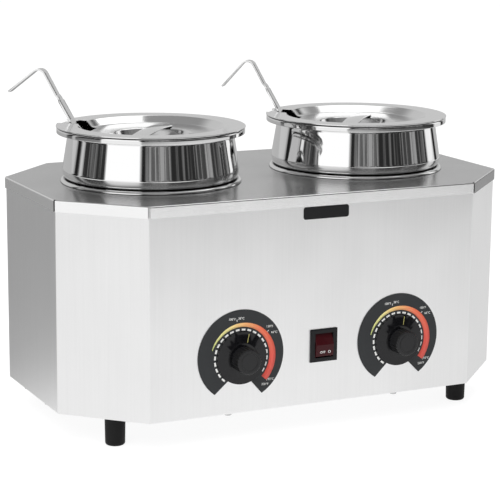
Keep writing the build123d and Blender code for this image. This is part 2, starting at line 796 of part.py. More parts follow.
def bulb_clips():
    """Saddles welded to the wells, each round its bulb."""
    clips = []
    inner = bulb_radius + contact_gap
    wing_end = inner + clip_sheet + clip_wing
    for side in side_sign:
        x, y = bulb_place(side)
        outward = degrees(atan2(y - well_y, x - side_sign[side] * well_spacing / 2))
        path = FilletPolyline(
            (-inner + flush_gap, -wing_end),
            (-inner + flush_gap, -inner),
            (inner, -inner),
            (inner, inner),
            (-inner + flush_gap, inner),
            (-inner + flush_gap, wing_end),
            radius=[clip_sheet, bulb_radius, bulb_radius, clip_sheet],
        )
        section = Face(Wire(path.edges()).offset_2d(clip_sheet, side=Side.RIGHT))
        middle_z = shaft_z + thermostat_height / 2 + 2 * capillary_rise + bulb_length / 2
        clips.append(Pos(x, y, middle_z) * Rot(0, 0, outward) * extrude(section, clip_height))
    return Compound(clips)


def dial_plate(side):
    """Round plate behind a knob, open below in a right-angled gap."""
    reach = 2 * dial_plate_radius
    spread = reach * tan(radians(dial_gap_angle / 2))
    gap = Polygon(
        (0, -dial_gap_drop), (-spread, -dial_gap_drop - reach), (spread, -dial_gap_drop - reach), align=None
    )
    outline = Pos(0, dial_plate_rise) * Circle(dial_plate_radius) - gap
    outline -= Circle(bushing_radius + bushing_hole_clearance)
    plate = extrude(outline, dial_plate_sheet)
    return front_place(shaft_x[side], shaft_z) * Rot(0, 0, dial_turn[side]) * plate


def knob(side):
    """Knob: thin skirt rising to a collar, and a fluted grip with a ring in its face."""
    skirt_face = knob_back + knob_skirt_edge
    collar_foot = skirt_face + knob_collar_rise
    collar_face = collar_foot + knob_collar_height
    front = knob_back + knob_length
    section = Polygon(
        (0, knob_back),
        (knob_skirt_radius, knob_back),
        (knob_skirt_radius, skirt_face),
        (knob_collar_radius, collar_foot),
        (knob_collar_radius, collar_face),
        (knob_grip_radius, collar_face),
        (knob_grip_radius, front),
        (0, front),
        align=None,
    )
    body = revolve(Plane.XZ * section, Axis.Z, 360)
    body = fillet(body.edges().sort_by(Axis.Z)[-1], knob_face_bend)
    flute_at = knob_grip_radius + knob_flute_radius - knob_flute_depth
    for i in range(knob_flute_count):
        flute = rod(knob_flute_radius, collar_face, front + knob_face_bend)
        body -= Rot(0, 0, 360 / knob_flute_count * (i + 0.5)) * Pos(flute_at, 0, 0) * flute
    ring_outer = rod(knob_ring_radius + knob_ring_width, front - knob_ring_depth, front)
    body -= ring_outer - rod(knob_ring_radius, front - knob_ring_depth, front)
    nut_reach = bushing_nut_width / sqrt(3) + knob_nut_clearance
    body -= rod(nut_reach, knob_back, bushing_reach + contact_gap)
    bore = d_section(shaft_radius + shaft_fit, shaft_flat + shaft_fit)
    bore_start = bushing_reach + contact_gap
    body -= extrude(Plane.XY.offset(bore_start) * bore, shaft_reach + contact_gap - bore_start)
    return front_place(shaft_x[side], shaft_z) * body


def switch_housing():
    """Switch housing with its bezel on the front wall and an open window for the rocker."""
    bezel = Box(bezel_width, bezel_height, bezel_thickness, align=(Align.CENTER, Align.CENTER, Align.MIN))
    bezel = fillet(bezel.faces().sort_by(Axis.Z)[-1].edges(), bezel_edge)
    housing = Box(
        switch_housing_width,
        switch_housing_height,
        switch_housing_depth,
        align=(Align.CENTER, Align.CENTER, Align.MAX),
    )
    window = Box(window_width, window_height, window_depth, align=(Align.CENTER, Align.CENTER, Align.MAX))
    pin_bore = Rot(0, 90, 0) * Cylinder(
        rocker_pin_radius + rocker_pin_fit, window_width + 2 * (rocker_pin_length + rocker_pin_fit)
    )
    unit = bezel + housing
    unit -= Pos(0, 0, bezel_thickness) * window
    unit -= Pos(0, 0, bezel_thickness - rocker_pivot_depth) * pin_bore
    return front_place(switch_x, switch_z) * unit


def switch_rocker():
    """Rocker with two facets that meet in a ridge, tipped with its upper end pressed in."""
    end_radius = window_height / 2 - rocker_end_clearance
    corner = radians(rocker_corner_angle)
    corner_up = end_radius * sin(corner)
    corner_out = end_radius * cos(corner)
    ridge = corner_out + corner_up * tan(radians(rocker_facet_angle))
    back_up = end_radius
    outline = Polygon(
        (ridge, 0),
        (corner_out, corner_up),
        (corner_out, back_up),
        (-rocker_back, back_up),
        (-rocker_back, -back_up),
        (corner_out, -back_up),
        (corner_out, -corner_up),
        align=None,
    )
    outline &= Circle(end_radius)
    side_plane = Plane(origin=(0, 0, 0), x_dir=(0, 0, 1), z_dir=(-1, 0, 0))
    width = window_width - 2 * rocker_side_clearance
    rocker = extrude(side_plane * outline, width / 2, both=True)
    pin = Rot(0, 90, 0) * Cylinder(rocker_pin_radius, window_width + 2 * rocker_pin_length)
    rocker = rocker + pin
    pivot = Pos(0, 0, bezel_thickness - rocker_pivot_depth)
    return front_place(switch_x, switch_z) * pivot * Rot(-rocker_tilt, 0, 0) * rocker


def switch_blades():
    """Three blade terminals on the back of the switch."""
    blades = []
    for i in (-1, 0, 1):
        blade = Box(
            blade_width, blade_thickness, blade_length, align=(Align.CENTER, Align.CENTER, Align.MAX)
        )
        place = front_place(switch_x, switch_z) * Pos(0, i * blade_spacing, -switch_housing_depth)
        blades.append(place * blade)
    return Compound(blades)


def build_parts():
    """All sub-parts by node name."""
    parts = {
        "deck_top": deck_top(),
        "body_shell": body_shell(),
        "back_panel": back_panel(),
        "back_panel_screws": back_panel_screws(),
        "cord_bushing": cord_bushing(),
        "bottom_plate": bottom_plate(),
        "bottom_plate_screws": bottom_plate_screws(),
        "terminal_block": terminal_block(),
        "terminal_block_screws": terminal_block_screws(),
        "foot_screws": foot_screws(),
        "foot_nuts": foot_nuts(),
        "clamp_studs": clamp_studs(),
        "clamp_nuts": clamp_nuts(),
        "thermostat_nuts": thermostat_nuts(),
        "bulb_clips": bulb_clips(),
        "switch_housing": switch_housing(),
        "switch_rocker": switch_rocker(),
        "switch_blades": switch_blades(),
    }
    foot_names = ["front_left", "front_right", "back_left", "back_right"]
    for name, (x, y) in zip(foot_names, foot_places()):
        parts[f"foot_{name}"] = Pos(x, y, 0) * rubber_foot()
    for side in side_sign:
        parts[f"well_{side}"] = well(side)
        parts[f"pot_{side}"] = pot(side)
        parts[f"lid_{side}"] = lid(side)
        parts[f"lid_handle_{side}"] = lid_handle(side)
        parts[f"ladle_bowl_{side}"] = ladle_bowl(side)
        parts[f"ladle_handle_{side}"] = ladle_handle(side)
        parts[f"heating_element_{side}"] = heating_element(side)
        parts[f"element_clamp_{side}"] = element_clamp(side)
        parts[f"thermostat_{side}"] = thermostat(side)
        parts[f"thermostat_shaft_{side}"] = thermostat_shaft(side)
        parts[f"thermostat_bulb_{side}"] = thermostat_bulb(side)
        parts[f"dial_plate_{side}"] = dial_plate(side)
        parts[f"knob_{side}"] = knob(side)
    return parts


os.makedirs("parts", exist_ok=True)
for node, shape in build_parts().items():
    export_step(shape, f"parts/{node}.step")
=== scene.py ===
"""Twin-well countertop food warmer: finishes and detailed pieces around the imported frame.

Sizes in the dataclasses and in Shape are millimetres; the objects made from them are in metres,
in the frame's own axes: +Z up, +X to the right and the front at -Y.
"""

import logging
import math
from dataclasses import dataclass
from enum import Enum
from functools import cached_property
from typing import Callable, Union

import bmesh
import bpy
from mathutils import Matrix, Vector


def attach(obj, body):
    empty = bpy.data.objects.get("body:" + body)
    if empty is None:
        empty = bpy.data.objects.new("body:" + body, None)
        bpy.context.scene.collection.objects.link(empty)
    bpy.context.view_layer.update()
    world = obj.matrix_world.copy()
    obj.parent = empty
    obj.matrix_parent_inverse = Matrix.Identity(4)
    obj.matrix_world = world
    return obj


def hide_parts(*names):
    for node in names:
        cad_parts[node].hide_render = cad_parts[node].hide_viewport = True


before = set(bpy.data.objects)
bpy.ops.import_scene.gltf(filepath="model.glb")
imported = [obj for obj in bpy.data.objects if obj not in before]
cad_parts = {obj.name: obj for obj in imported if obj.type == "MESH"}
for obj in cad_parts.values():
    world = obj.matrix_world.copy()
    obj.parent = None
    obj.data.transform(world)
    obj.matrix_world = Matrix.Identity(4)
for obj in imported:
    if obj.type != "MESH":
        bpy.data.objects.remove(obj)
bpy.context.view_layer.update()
LOG = logging.getLogger("warmer")

MM = 0.001
TINY = 1e-4
JOINED_WITHIN = 2e-3
FLAT_WITHIN = math.radians(0.3)
Point = tuple[float, float]
Spot = tuple[float, float, float]
Colour = tuple[float, float, float]
Tones = tuple[tuple[float, float], ...]
Socket = bpy.types.NodeSocket
Feed = Union[Socket, float, tuple[float, ...]]


class Side(Enum):
    """The two wells of the warmer, as seen from the front."""

    LEFT = "left"
    RIGHT = "right"


class Sheet(Enum):
    """Which side of its line a sheet of revolution lies on, going along the line."""

    LEFT = 1
    RIGHT = -1


class Grain(Enum):
    """Direction of a brushed grain."""

    ALONG_X = 0
    ALONG_Z = 2


@dataclass(frozen=True)
class CasingSize:
    """Sizes of the casing that the other pieces are placed by."""

    deck_z: float = 235.0
    front_y: float = -137.7
    label_x: float = 9.0
    label_z: float = 217.3
    label_width: float = 48.5
    label_height: float = 12.0
    label_corner: float = 2.4
    label_sheet: float = 0.35
    switch_x: float = 8.2
    switch_z: float = 87.4
    rocker_pivot: float = -2.5
    rocker_tilt: float = 10.0
    rocker_facet: float = 15.0
    rocker_ridge: float = 6.744
    words_drop: float = 7.3
    words_sheet: float = 0.08


@dataclass(frozen=True)
class WellSize:
    """Sizes of a well, with heights from the deck."""

    x: float
    y: float = -2.0
    bore: float = 82.4
    bead: float = 3.2
    depth: float = 160.0
    floor_bend: float = 12.0
    sheet: float = 0.9


@dataclass(frozen=True)
class PotSize:
    """Sizes of a pot, with heights from the deck."""

    sheet: float = 1.0
    floor_drop: float = 150.0
    foot_radius: float = 76.0
    floor_bend: float = 10.0
    wall_radius: float = 78.5
    join_bend: float = 3.0
    shoulder_bend: float = 14.0
    belly_radius: float = 86.7
    crown_bend: float = 10.0
    cone_lean: float = 9.2
    neck_rise: float = 45.0
    neck_bend: float = 6.0
    rim_rise: float = 53.3
    rim_radius: float = 92.0
    rim_bend: float = 1.5
    lip_drop: float = 5.5
    lip_bend: float = 1.0
    gap: float = 0.3

    def shoulder(self, well: WellSize) -> Point:
        """Middle of the shoulder's bend, which rests on the well's bead.

        Args:
            well: The well that holds the pot.

        Returns:
            Its radius and height.
        """
        radius = self.belly_radius - self.shoulder_bend
        touch = self.shoulder_bend + well.bead + self.gap
        return radius, math.sqrt(touch**2 - (well.bore + well.bead - radius) ** 2)

    def cone_foot(self, well: WellSize) -> Point:
        """Foot of the cone, where the belly's upper bend ends.

        Args:
            well: The well that holds the pot.

        Returns:
            Its radius and height.
        """
        lean = math.radians(self.cone_lean)
        radius = self.belly_radius - self.crown_bend * (1 - math.cos(lean))
        return radius, self.shoulder(well)[1] + self.crown_bend * math.sin(lean)

    def neck_radius(self, well: WellSize) -> float:
        """Outer radius of the neck at the cone's top.

        Args:
            well: The well that holds the pot.

        Returns:
            The radius.
        """
        radius, rise = self.cone_foot(well)
        return radius - (self.neck_rise - rise) * math.tan(math.radians(self.cone_lean))


@dataclass(frozen=True)
class LidSize:
    """Sizes of a lid and its strap, with drops from the flange's top."""

    sheet: float = 0.9
    top_rise: float = 54.5
    flange: float = 92.5
    flange_inner: float = 72.0
    floor: float = 65.5
    floor_drop: float = 6.75
    well: float = 39.5
    well_edge_drop: float = 8.3
    well_floor: float = 33.0
    well_drop: float = 21.0
    bend: float = 2.0
    well_bend: float = 6.0
    notch_width: float = 26.0
    notch_reach: float = 59.0
    notch_corner: float = 3.0
    notch_near: float = 30.0
    notch_turn: float = 141.0
    strap_width: float = 16.0
    strap_span: float = 96.0
    strap_rise: float = 2.2
    strap_sheet: float = 1.5
    strap_turn: float = 51.0
    strap_gap: float = 0.1


@dataclass(frozen=True)
class LadleSize:
    """Sizes of a ladle; the joggle's place and the hook's end differ between the two sides."""

    kink: float
    fall_angle: float
    hook_lean: float = 29.0
    hook_rise: float = 32.3
    fall: float = 42.6
    lean: float = 27.0
    neck_rise: float = 5.0
    neck_lean: float = 30.0
    sheet: float = 1.6
    shank: float = 14.0
    hook: float = 10.5
    shoulder_cut: float = 1.6
    foot_corner: float = 4.5
    foot_turns: tuple[float, ...] = (0, 12, 30, 50, 70, 90)
    bowl: float = 30.0
    collar: float = 4.0
    bowl_sheet: float = 1.0
    weld: float = 9.0
    jog: float = 3.0
    jog_turn: float = 16.0
    jog_bend: float = 1.6
    hook_bend: float = 7.2


@dataclass(frozen=True)
class DialSize:
    """Sizes of a dial's plate, print and knob, with distances out from the front wall."""

    x: float
    turn: float
    pointer: float
    z: float = 84.5
    plate: float = 0.8
    print_sheet: float = 0.08
    print_gap: float = 0.01
    dash_radius: float = 27.0
    dash_width: float = 1.8
    dash_length: float = 3.9
    dash_start: float = -141.5
    dash_step: float = 12.95
    dash_count: int = 21
    band_start: float = -76.0
    band_end: float = 129.0
    band_inner: float = 29.7
    band_tip: float = 1.2
    band_tip_part: float = 0.125
    band_steps: int = 72
    band_widths: tuple[float, ...] = (0.7, 2.2, 2.9, 3.5, 4.0, 4.7, 5.5, 6.1, 6.5, 6.7, 6.8)
    tick_radius: float = 35.4
    tick_length: float = 2.0
    tick_width: float = 0.5
    letter: float = 3.1
    knob_back: float = 1.8
    skirt: float = 25.5
    skirt_edge: float = 1.6
    collar: float = 15.0
    collar_rise: float = 1.6
    collar_height: float = 1.4
    grip: float = 12.3
    knob_length: float = 18.2
    flutes: int = 24
    flute: float = 1.0
    flute_depth: float = 0.5
    flute_spans: int = 4
    face_bend: float = 1.0
    ring: float = 8.0
    ring_width: float = 0.8
    ring_depth: float = 0.3
    nut_recess: float = 9.3
    pointer_inset: float = 0.8
    pointer_stop: float = 1.6
    pointer_width: float = 0.8
    pointer_sheet: float = 0.06


DIAL_TICKS = (-11.0, 46.5, 128.5)
DIAL_WORDS = (
    ("100°F", -12.1, 37.0), ("38°C", -2.6, 37.7), ("150°F", 27.6, 29.3),
    ("66°C", 33.0, 23.6), ("93°C", 33.0, -22.2), ("200°F", 27.2, -26.9),
)
ROCKER_WORDS = (("OFF", 3.3, -2.4), ("O", 4.0, 4.9))
WELLS = {Side.LEFT: WellSize(-114.0), Side.RIGHT: WellSize(114.0)}
LADLES = {Side.LEFT: LadleSize(29.6, 51.7), Side.RIGHT: LadleSize(31.5, 41.5)}
DIALS = {Side.LEFT: DialSize(-79.7, -4.0, 17.0), Side.RIGHT: DialSize(90.2, 0.0, 13.0)}
CASING = CasingSize()
POT = PotSize()
LID = LidSize()


def arc(centre: Point, radius: float, start: float, size: float, steps: int = 8) -> list[Point]:
    """Points along a circular arc.

    Args:
        centre: Middle of the arc.
        radius: Radius of the arc.
        start: First angle in degrees.
        size: Angle swept in degrees, negative for clockwise.
        steps: Number of spans.

    Returns:
        The arc's points, first and last included.
    """
    angles = [math.radians(start + size * i / steps) for i in range(steps + 1)]
    return [(centre[0] + radius * math.cos(a), centre[1] + radius * math.sin(a)) for a in angles]


def rounded(corners: list[Point], bends: list[float], steps: int = 6) -> list[Point]:
    """Polyline whose inner corners are rounded.

    Args:
        corners: Corners of the line, ends included.
        bends: Radius of each inner corner, in order.
        steps: Spans on each rounded corner.

    Returns:
        Points of the rounded line.
    """
    points: list[Point] = [corners[0]]
    for before, corner, after, bend in zip(corners, corners[1:], corners[2:], bends):
        here = Vector(corner)
        back = (Vector(before) - here).normalized()
        on = (Vector(after) - here).normalized()
        turn = math.pi - back.angle(on)
        reach = bend * math.tan(turn / 2)
        centre = here + (back + on).normalized() * (bend / math.cos(turn / 2))
        first = here + back * reach - centre
        last = here + on * reach - centre
        start = math.degrees(math.atan2(first.y, first.x))
        cross = first.x * last.y - first.y * last.x
        swing = math.degrees(math.atan2(cross, first.dot(last)))
        points += arc(tuple(centre), bend, start, swing, steps)
    points.append(corners[-1])
    return points


def supported(points: list[Point], margin: float = 0.5, least: float = 3.0) -> list[Point]:
    """Line with a point close to both ends of every long run, which keeps flat runs flat.

    Args:
        points: Points of the line.
        margin: Distance of the added points from the ends of a run.
        least: Length from which a run counts as long.

    Returns:
        The line with its added points.
    """
    line = [points[0]]
    for a, b in zip(points, points[1:]):
        start, end = Vector(a), Vector(b)
        length = (end - start).length
        if length < 1e-6:
            continue
        if length > least:
            step = (end - start) * (margin / length)
            line += [tuple(start + step), tuple(end - step)]
        line.append(b)
    return line


def walk(start: Point, *steps: tuple[float, float]) -> list[Point]:
    """Corners of a path in an upright plane.

    Args:
        start: First corner, as distance out and height.
        steps: For each run, its lean from the vertical in degrees and its length.

    Returns:
        The corners, the first included.
    """
    points = [start]
    for lean, length in steps:
        angle = math.radians(lean)
        out, up = points[-1]
        points.append((out + length * math.sin(angle), up + length * math.cos(angle)))
    return points


def turned(degrees: float, axis: str) -> Matrix:
    """Turn about an axis.

    Args:
        degrees: The angle.
        axis: The axis's letter.

    Returns:
        The matrix.
    """
    return Matrix.Rotation(math.radians(degrees), 4, axis)


def well_place(side: Side, rise: float = 0.0, turn: float = 0.0) -> Matrix:
    """Place on the axis of a well.

    Args:
        side: Which well.
        rise: Height above the deck.
        turn: Turn about the axis in degrees.

    Returns:
        The matrix from local millimetres to the frame's millimetres.
    """
    well = WELLS[side]
    return Matrix.Translation((well.x, well.y, CASING.deck_z + rise)) @ turned(turn, "Z")


def front_place(x: float, z: float, turn: float = 0.0) -> Matrix:
    """Place on the front wall: local Y is up and local Z points out.

    Args:
        x: Place along X.
        z: Height above the counter.
        turn: Turn in degrees, counter-clockwise from the front.

    Returns:
        The matrix from local millimetres to the frame's millimetres.
    """
    return Matrix.Translation((x, CASING.front_y, z)) @ turned(90, "X") @ turned(turn, "Z")


class Shape:
    """A mesh under construction in millimetres, made an object when it is done."""

    def __init__(self) -> None:
        """Start with an empty mesh."""
        self.bm = bmesh.new()

    def line(self, points: list[Point]) -> list[bmesh.types.BMVert]:
        """Lay an open line through points of the local XZ plane.

        Args:
            points: Points of the line.

        Returns:
            The line's vertices in order.
        """
        verts = [self.bm.verts.new((a, 0, b)) for a, b in points]
        for pair in zip(verts, verts[1:]):
            self.bm.edges.new(pair)
        return verts

    def spin(self, points: list[Point], sheet: Sheet, steps: int = 192) -> None:
        """Turn a line once round the local Z axis, with its faces away from the sheet's side.

        Args:
            points: Points of the line, as radius and height.
            sheet: Side of the line on which the sheet will lie.
            steps: Number of spans round the axis.
        """
        bm, verts = self.bm, self.line(points)
        lengths = [(Vector(b) - Vector(a)).length for a, b in zip(points, points[1:])]
        longest = lengths.index(max(lengths))
        low, high = Vector(points[longest]), Vector(points[longest + 1])
        run = (high - low).normalized() * sheet.value
        middle = (low + high) / 2
        bmesh.ops.spin(
            bm, geom=verts + list(bm.edges), cent=(0, 0, 0), axis=(0, 0, 1), dvec=(0, 0, 0),
            angle=math.tau, steps=steps, use_merge=True, use_normal_flip=False, use_duplicate=False,
        )
        bmesh.ops.remove_doubles(bm, verts=bm.verts, dist=TINY)
        bmesh.ops.dissolve_degenerate(bm, dist=TINY, edges=bm.edges)
        bm.normal_update()
        target = Vector((middle.x, 0, middle.y))
        nearest = min(bm.faces, key=lambda f: (f.calc_center_median() - target).length)
        if nearest.normal.dot(Vector((run.y, 0, -run.x))) < 0:
            self.flip()

    def strip(self, points: list[Point], widths: list[float]) -> None:
        """Lay a strip along a line of the local XZ plane, spread along Y.

        Args:
            points: Points of the middle line.
            widths: Width of the strip at each point.
        """
        verts = self.line(points)
        made = bmesh.ops.extrude_edge_only(self.bm, edges=list(self.bm.edges))["geom"]
        far = [g for g in made if isinstance(g, bmesh.types.BMVert)]
        by_place = {(round(v.co.x, 4), round(v.co.z, 4)): v for v in far}
        for vert, width in zip(verts, widths):
            mate = by_place[(round(vert.co.x, 4), round(vert.co.z, 4))]
            vert.co.y = -width / 2
            mate.co.y = width / 2
        self.close_up()

    def plate(self, outline: list[Point], height: float) -> None:
        """Draw a plane outline out along the local Z axis into a closed block.

        Args:
            outline: Corners of the outline in the local XY plane.
            height: Height of the block.
        """
        face = self.bm.faces.new([self.bm.verts.new((x, y, 0)) for x, y in outline])
        made = bmesh.ops.extrude_face_region(self.bm, geom=[face], use_keep_orig=True)["geom"]
        top = [g for g in made if isinstance(g, bmesh.types.BMVert)]
        bmesh.ops.translate(self.bm, verts=top, vec=(0, 0, height))

    def bar(self, degrees: float, radius: float, along: float, out: float, height: float) -> None:
        """Add a thin bar on a ring round the local Z axis.

        Args:
            degrees: Place on the ring, clockwise from its top.
            radius: Radius of the bar's middle.
            along: Size along the ring.
            out: Size outwards.
            height: Height of the bar.
        """
        angle = math.radians(degrees)
        up = Vector((math.sin(angle), math.cos(angle)))
        side = Vector((up.y, -up.x))
        corners = ((-0.5, -0.5), (0.5, -0.5), (0.5, 0.5), (-0.5, 0.5))
        self.plate([tuple(up * (radius + out * b) + side * along * a) for a, b in corners], height)

    def words(self, text: str, height: float, sheet: float, place: Spot) -> None:
        """Add raised letters, centred on their place.

        Args:
            text: The letters.
            height: Font size.
            sheet: Thickness of the letters.
            place: Where the middle of the letters goes.
        """
        font = bpy.data.curves.new("words", "FONT")
        font.body, font.size, font.resolution_u = text, height, 3
        font.align_x, font.align_y = "CENTER", "CENTER"
        font.extrude = sheet / 2
        carrier = bpy.data.objects.new("words", font)
        mesh = bpy.data.meshes.new_from_object(carrier)
        mesh.transform(Matrix.Translation(place) @ Matrix.Translation((0, 0, sheet / 2)))
        self.bm.from_mesh(mesh)
        bpy.data.objects.remove(carrier)
        bpy.data.curves.remove(font)
        bpy.data.meshes.remove(mesh)

    def cut(self, point: Vector, normal: Vector, near: float) -> None:
        """Cut the faces near a point by a plane and keep both sides.

        Args:
            point: A point of the plane.
            normal: The plane's normal.
            near: Distance from the point within which faces are cut.
        """
        faces = [f for f in self.bm.faces if (f.calc_center_median() - point).length < near]
        geom = list({g for f in faces for g in [*f.verts, *f.edges, f]})
        bmesh.ops.bisect_plane(self.bm, geom=geom, dist=TINY, plane_co=point, plane_no=normal)

    def notch(self, corners: list[Point], near: float) -> None:
        """Cut a convex opening out of a sheet and drop the faces inside it.

        Args:
            corners: Corners of the opening, counter-clockwise from above, open at the end.
            near: Distance from each corner line within which faces are cut.
        """
        sides = []
        for a, b in zip(corners, corners[1:]):
            along = Vector((b[0] - a[0], b[1] - a[1], 0)).normalized()
            inward = Vector((-along.y, along.x, 0))
            middle = Vector(((a[0] + b[0]) / 2, (a[1] + b[1]) / 2, 0))
            self.cut(middle, inward, near)
            sides.append((middle, inward))
        gone = [
            f for f in self.bm.faces
            if all((f.calc_center_median() - p).dot(n) > 0 for p, n in sides)
        ]
        bmesh.ops.delete(self.bm, geom=gone, context="FACES")

    def flip(self) -> None:
        """Turn every face over."""
        bmesh.ops.reverse_faces(self.bm, faces=self.bm.faces)

    def close_up(self) -> None:
        """Point the faces of closed shapes outwards, and those of a strip one way."""
        bmesh.ops.recalc_face_normals(self.bm, faces=self.bm.faces)

    def piece(
        self, name: str, place: Matrix | None = None, sharp: float = 35.0, flat_from: float = 400.0
    ) -> bpy.types.Object:
        """Make the mesh an object with smooth bends and flat large faces.

        Args:
            name: Name of the piece.
            place: Where the local origin and axes go.
            sharp: Angle in degrees above which an edge stays sharp.
            flat_from: Area in square millimetres from which a face is shaded flat.

        Returns:
            The new object, at the origin.
        """
        if place is not None:
            bmesh.ops.transform(self.bm, matrix=place, verts=self.bm.verts)
        limit = math.radians(sharp)
        for face in self.bm.faces:
            face.smooth = face.calc_area() < flat_from
        for edge in self.bm.edges:
            edge.smooth = len(edge.link_faces) != 2 or edge.calc_face_angle(0.0) < limit
        bmesh.ops.scale(self.bm, vec=(MM, MM, MM), verts=self.bm.verts)
        mesh = bpy.data.meshes.new(name)
        self.bm.to_mesh(mesh)
        self.bm.free()
        obj = bpy.data.objects.new(name, mesh)
        bpy.context.scene.collection.objects.link(obj)
        return obj


def thicken(obj: bpy.types.Object, sheet: float, offset: float = -1.0) -> None:
    """Give an open sheet its thickness.

    Args:
        obj: The sheet.
        sheet: Its thickness in millimetres.
        offset: -1 to grow against the normals, 0 to both sides, 1 along them.
    """
    wall = obj.modifiers.new("sheet", "SOLIDIFY")
    wall.thickness = sheet * MM
    wall.offset = offset
    wall.use_even_offset = True


def ease_edges(obj: bpy.types.Object, width: float, angle: float = 40.0, steps: int = 2) -> None:
    """Round the sharp edges a little.

    Args:
        obj: The piece.
        width: Width of the rounding in millimetres.
        angle: Least angle in degrees between the faces of a rounded edge.
        steps: Spans across the rounding.
    """
    bevel = obj.modifiers.new("edges", "BEVEL")
    bevel.width = width * MM
    bevel.segments = steps
    bevel.profile = 0.5
    bevel.limit_method = "ANGLE"
    bevel.angle_limit = math.radians(angle)


def smooth_copy(node: str, name: str, sharp: float = 35.0) -> bpy.types.Object:
    """Copy a node's mesh with its triangles joined, so that its bends shade smoothly.

    Args:
        node: The node of the frame.
        name: Name of the copy.
        sharp: Angle in degrees above which an edge stays sharp.

    Returns:
        The copy.
    """
    shape = Shape()
    bm = shape.bm
    bm.from_mesh(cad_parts[node].data)
    bmesh.ops.scale(bm, vec=(1 / MM, 1 / MM, 1 / MM), verts=bm.verts)
    bmesh.ops.remove_doubles(bm, verts=bm.verts, dist=JOINED_WITHIN)
    bmesh.ops.dissolve_limit(bm, angle_limit=FLAT_WITHIN, verts=bm.verts, edges=bm.edges)
    return shape.piece(name, sharp=sharp)


class Graph:
    """A shader tree whose nodes are added and joined in one call each."""

    def __init__(self, tree: bpy.types.NodeTree) -> None:
        """Keep the tree and drop the nodes that it came with.

        Args:
            tree: The tree to fill.
        """
        tree.nodes.clear()
        self.tree = tree

    def feed(self, node: bpy.types.Node, key: str | int, value: Feed) -> None:
        """Give an input its value.

        Args:
            node: The node.
            key: Name or number of the input.
            value: A constant, or the socket to join it to.
        """
        if isinstance(value, Socket):
            self.tree.links.new(value, node.inputs[key])
        else:
            node.inputs[key].default_value = value

    def add(
        self, kind: str, inputs: dict[str | int, Feed] | None = None, **settings: object
    ) -> bpy.types.Node:
        """Add a node.

        Args:
            kind: The node's type.
            inputs: The value of each input, by name or number.
            settings: The node's properties, which are set before its inputs.

        Returns:
            The node.
        """
        node = self.tree.nodes.new(kind if kind.startswith("NodeGroup") else f"ShaderNode{kind}")
        for name, value in settings.items():
            setattr(node, name, value)
        for key, value in (inputs or {}).items():
            self.feed(node, key, value)
        return node

    def maths(self, operation: str, value: Feed, other: Feed) -> Socket:
        """Work out a number from two.

        Args:
            operation: The operation.
            value: The first number or its socket.
            other: The second number or its socket.

        Returns:
            The result's socket.
        """
        return self.add("Math", {0: value, 1: other}, operation=operation).outputs["Value"]

    def spread(
        self, value: Feed, low: tuple[float, Feed], high: tuple[float, Feed], **settings: object
    ) -> Socket:
        """Map a number from one range to another.

        Args:
            value: The number's socket.
            low: Start of the range and what it becomes.
            high: End of the range and what it becomes.
            settings: The node's properties.

        Returns:
            The result's socket.
        """
        ends = {"From Min": low[0], "To Min": low[1], "From Max": high[0], "To Max": high[1]}
        return self.add("MapRange", {"Value": value, **ends}, **settings).outputs["Result"]

    def pick(self, share: Feed, low: Feed, high: Feed) -> Socket:
        """Blend two colours.

        Args:
            share: Share of the second colour.
            low: The first colour or its socket.
            high: The second colour or its socket.

        Returns:
            The result's socket.
        """
        ends = {"Factor": share, "A": low, "B": high}
        return self.add("Mix", ends, data_type="RGBA").outputs["Result"]

    def ramp(self, value: Socket, stops: tuple[tuple[float, Colour], ...]) -> Socket:
        """Turn a number into a colour.

        Args:
            value: The number's socket.
            stops: Position and colour of each stop, in order.

        Returns:
            The colour's socket.
        """
        node = self.add("ValToRGB", {"Fac": value})
        elements = node.color_ramp.elements
        while len(elements) > 1:
            elements.remove(elements[-1])
        elements[0].position = stops[0][0]
        elements[0].color = (*stops[0][1], 1)
        for position, colour in stops[1:]:
            elements.new(position).color = (*colour, 1)
        return node.outputs["Color"]


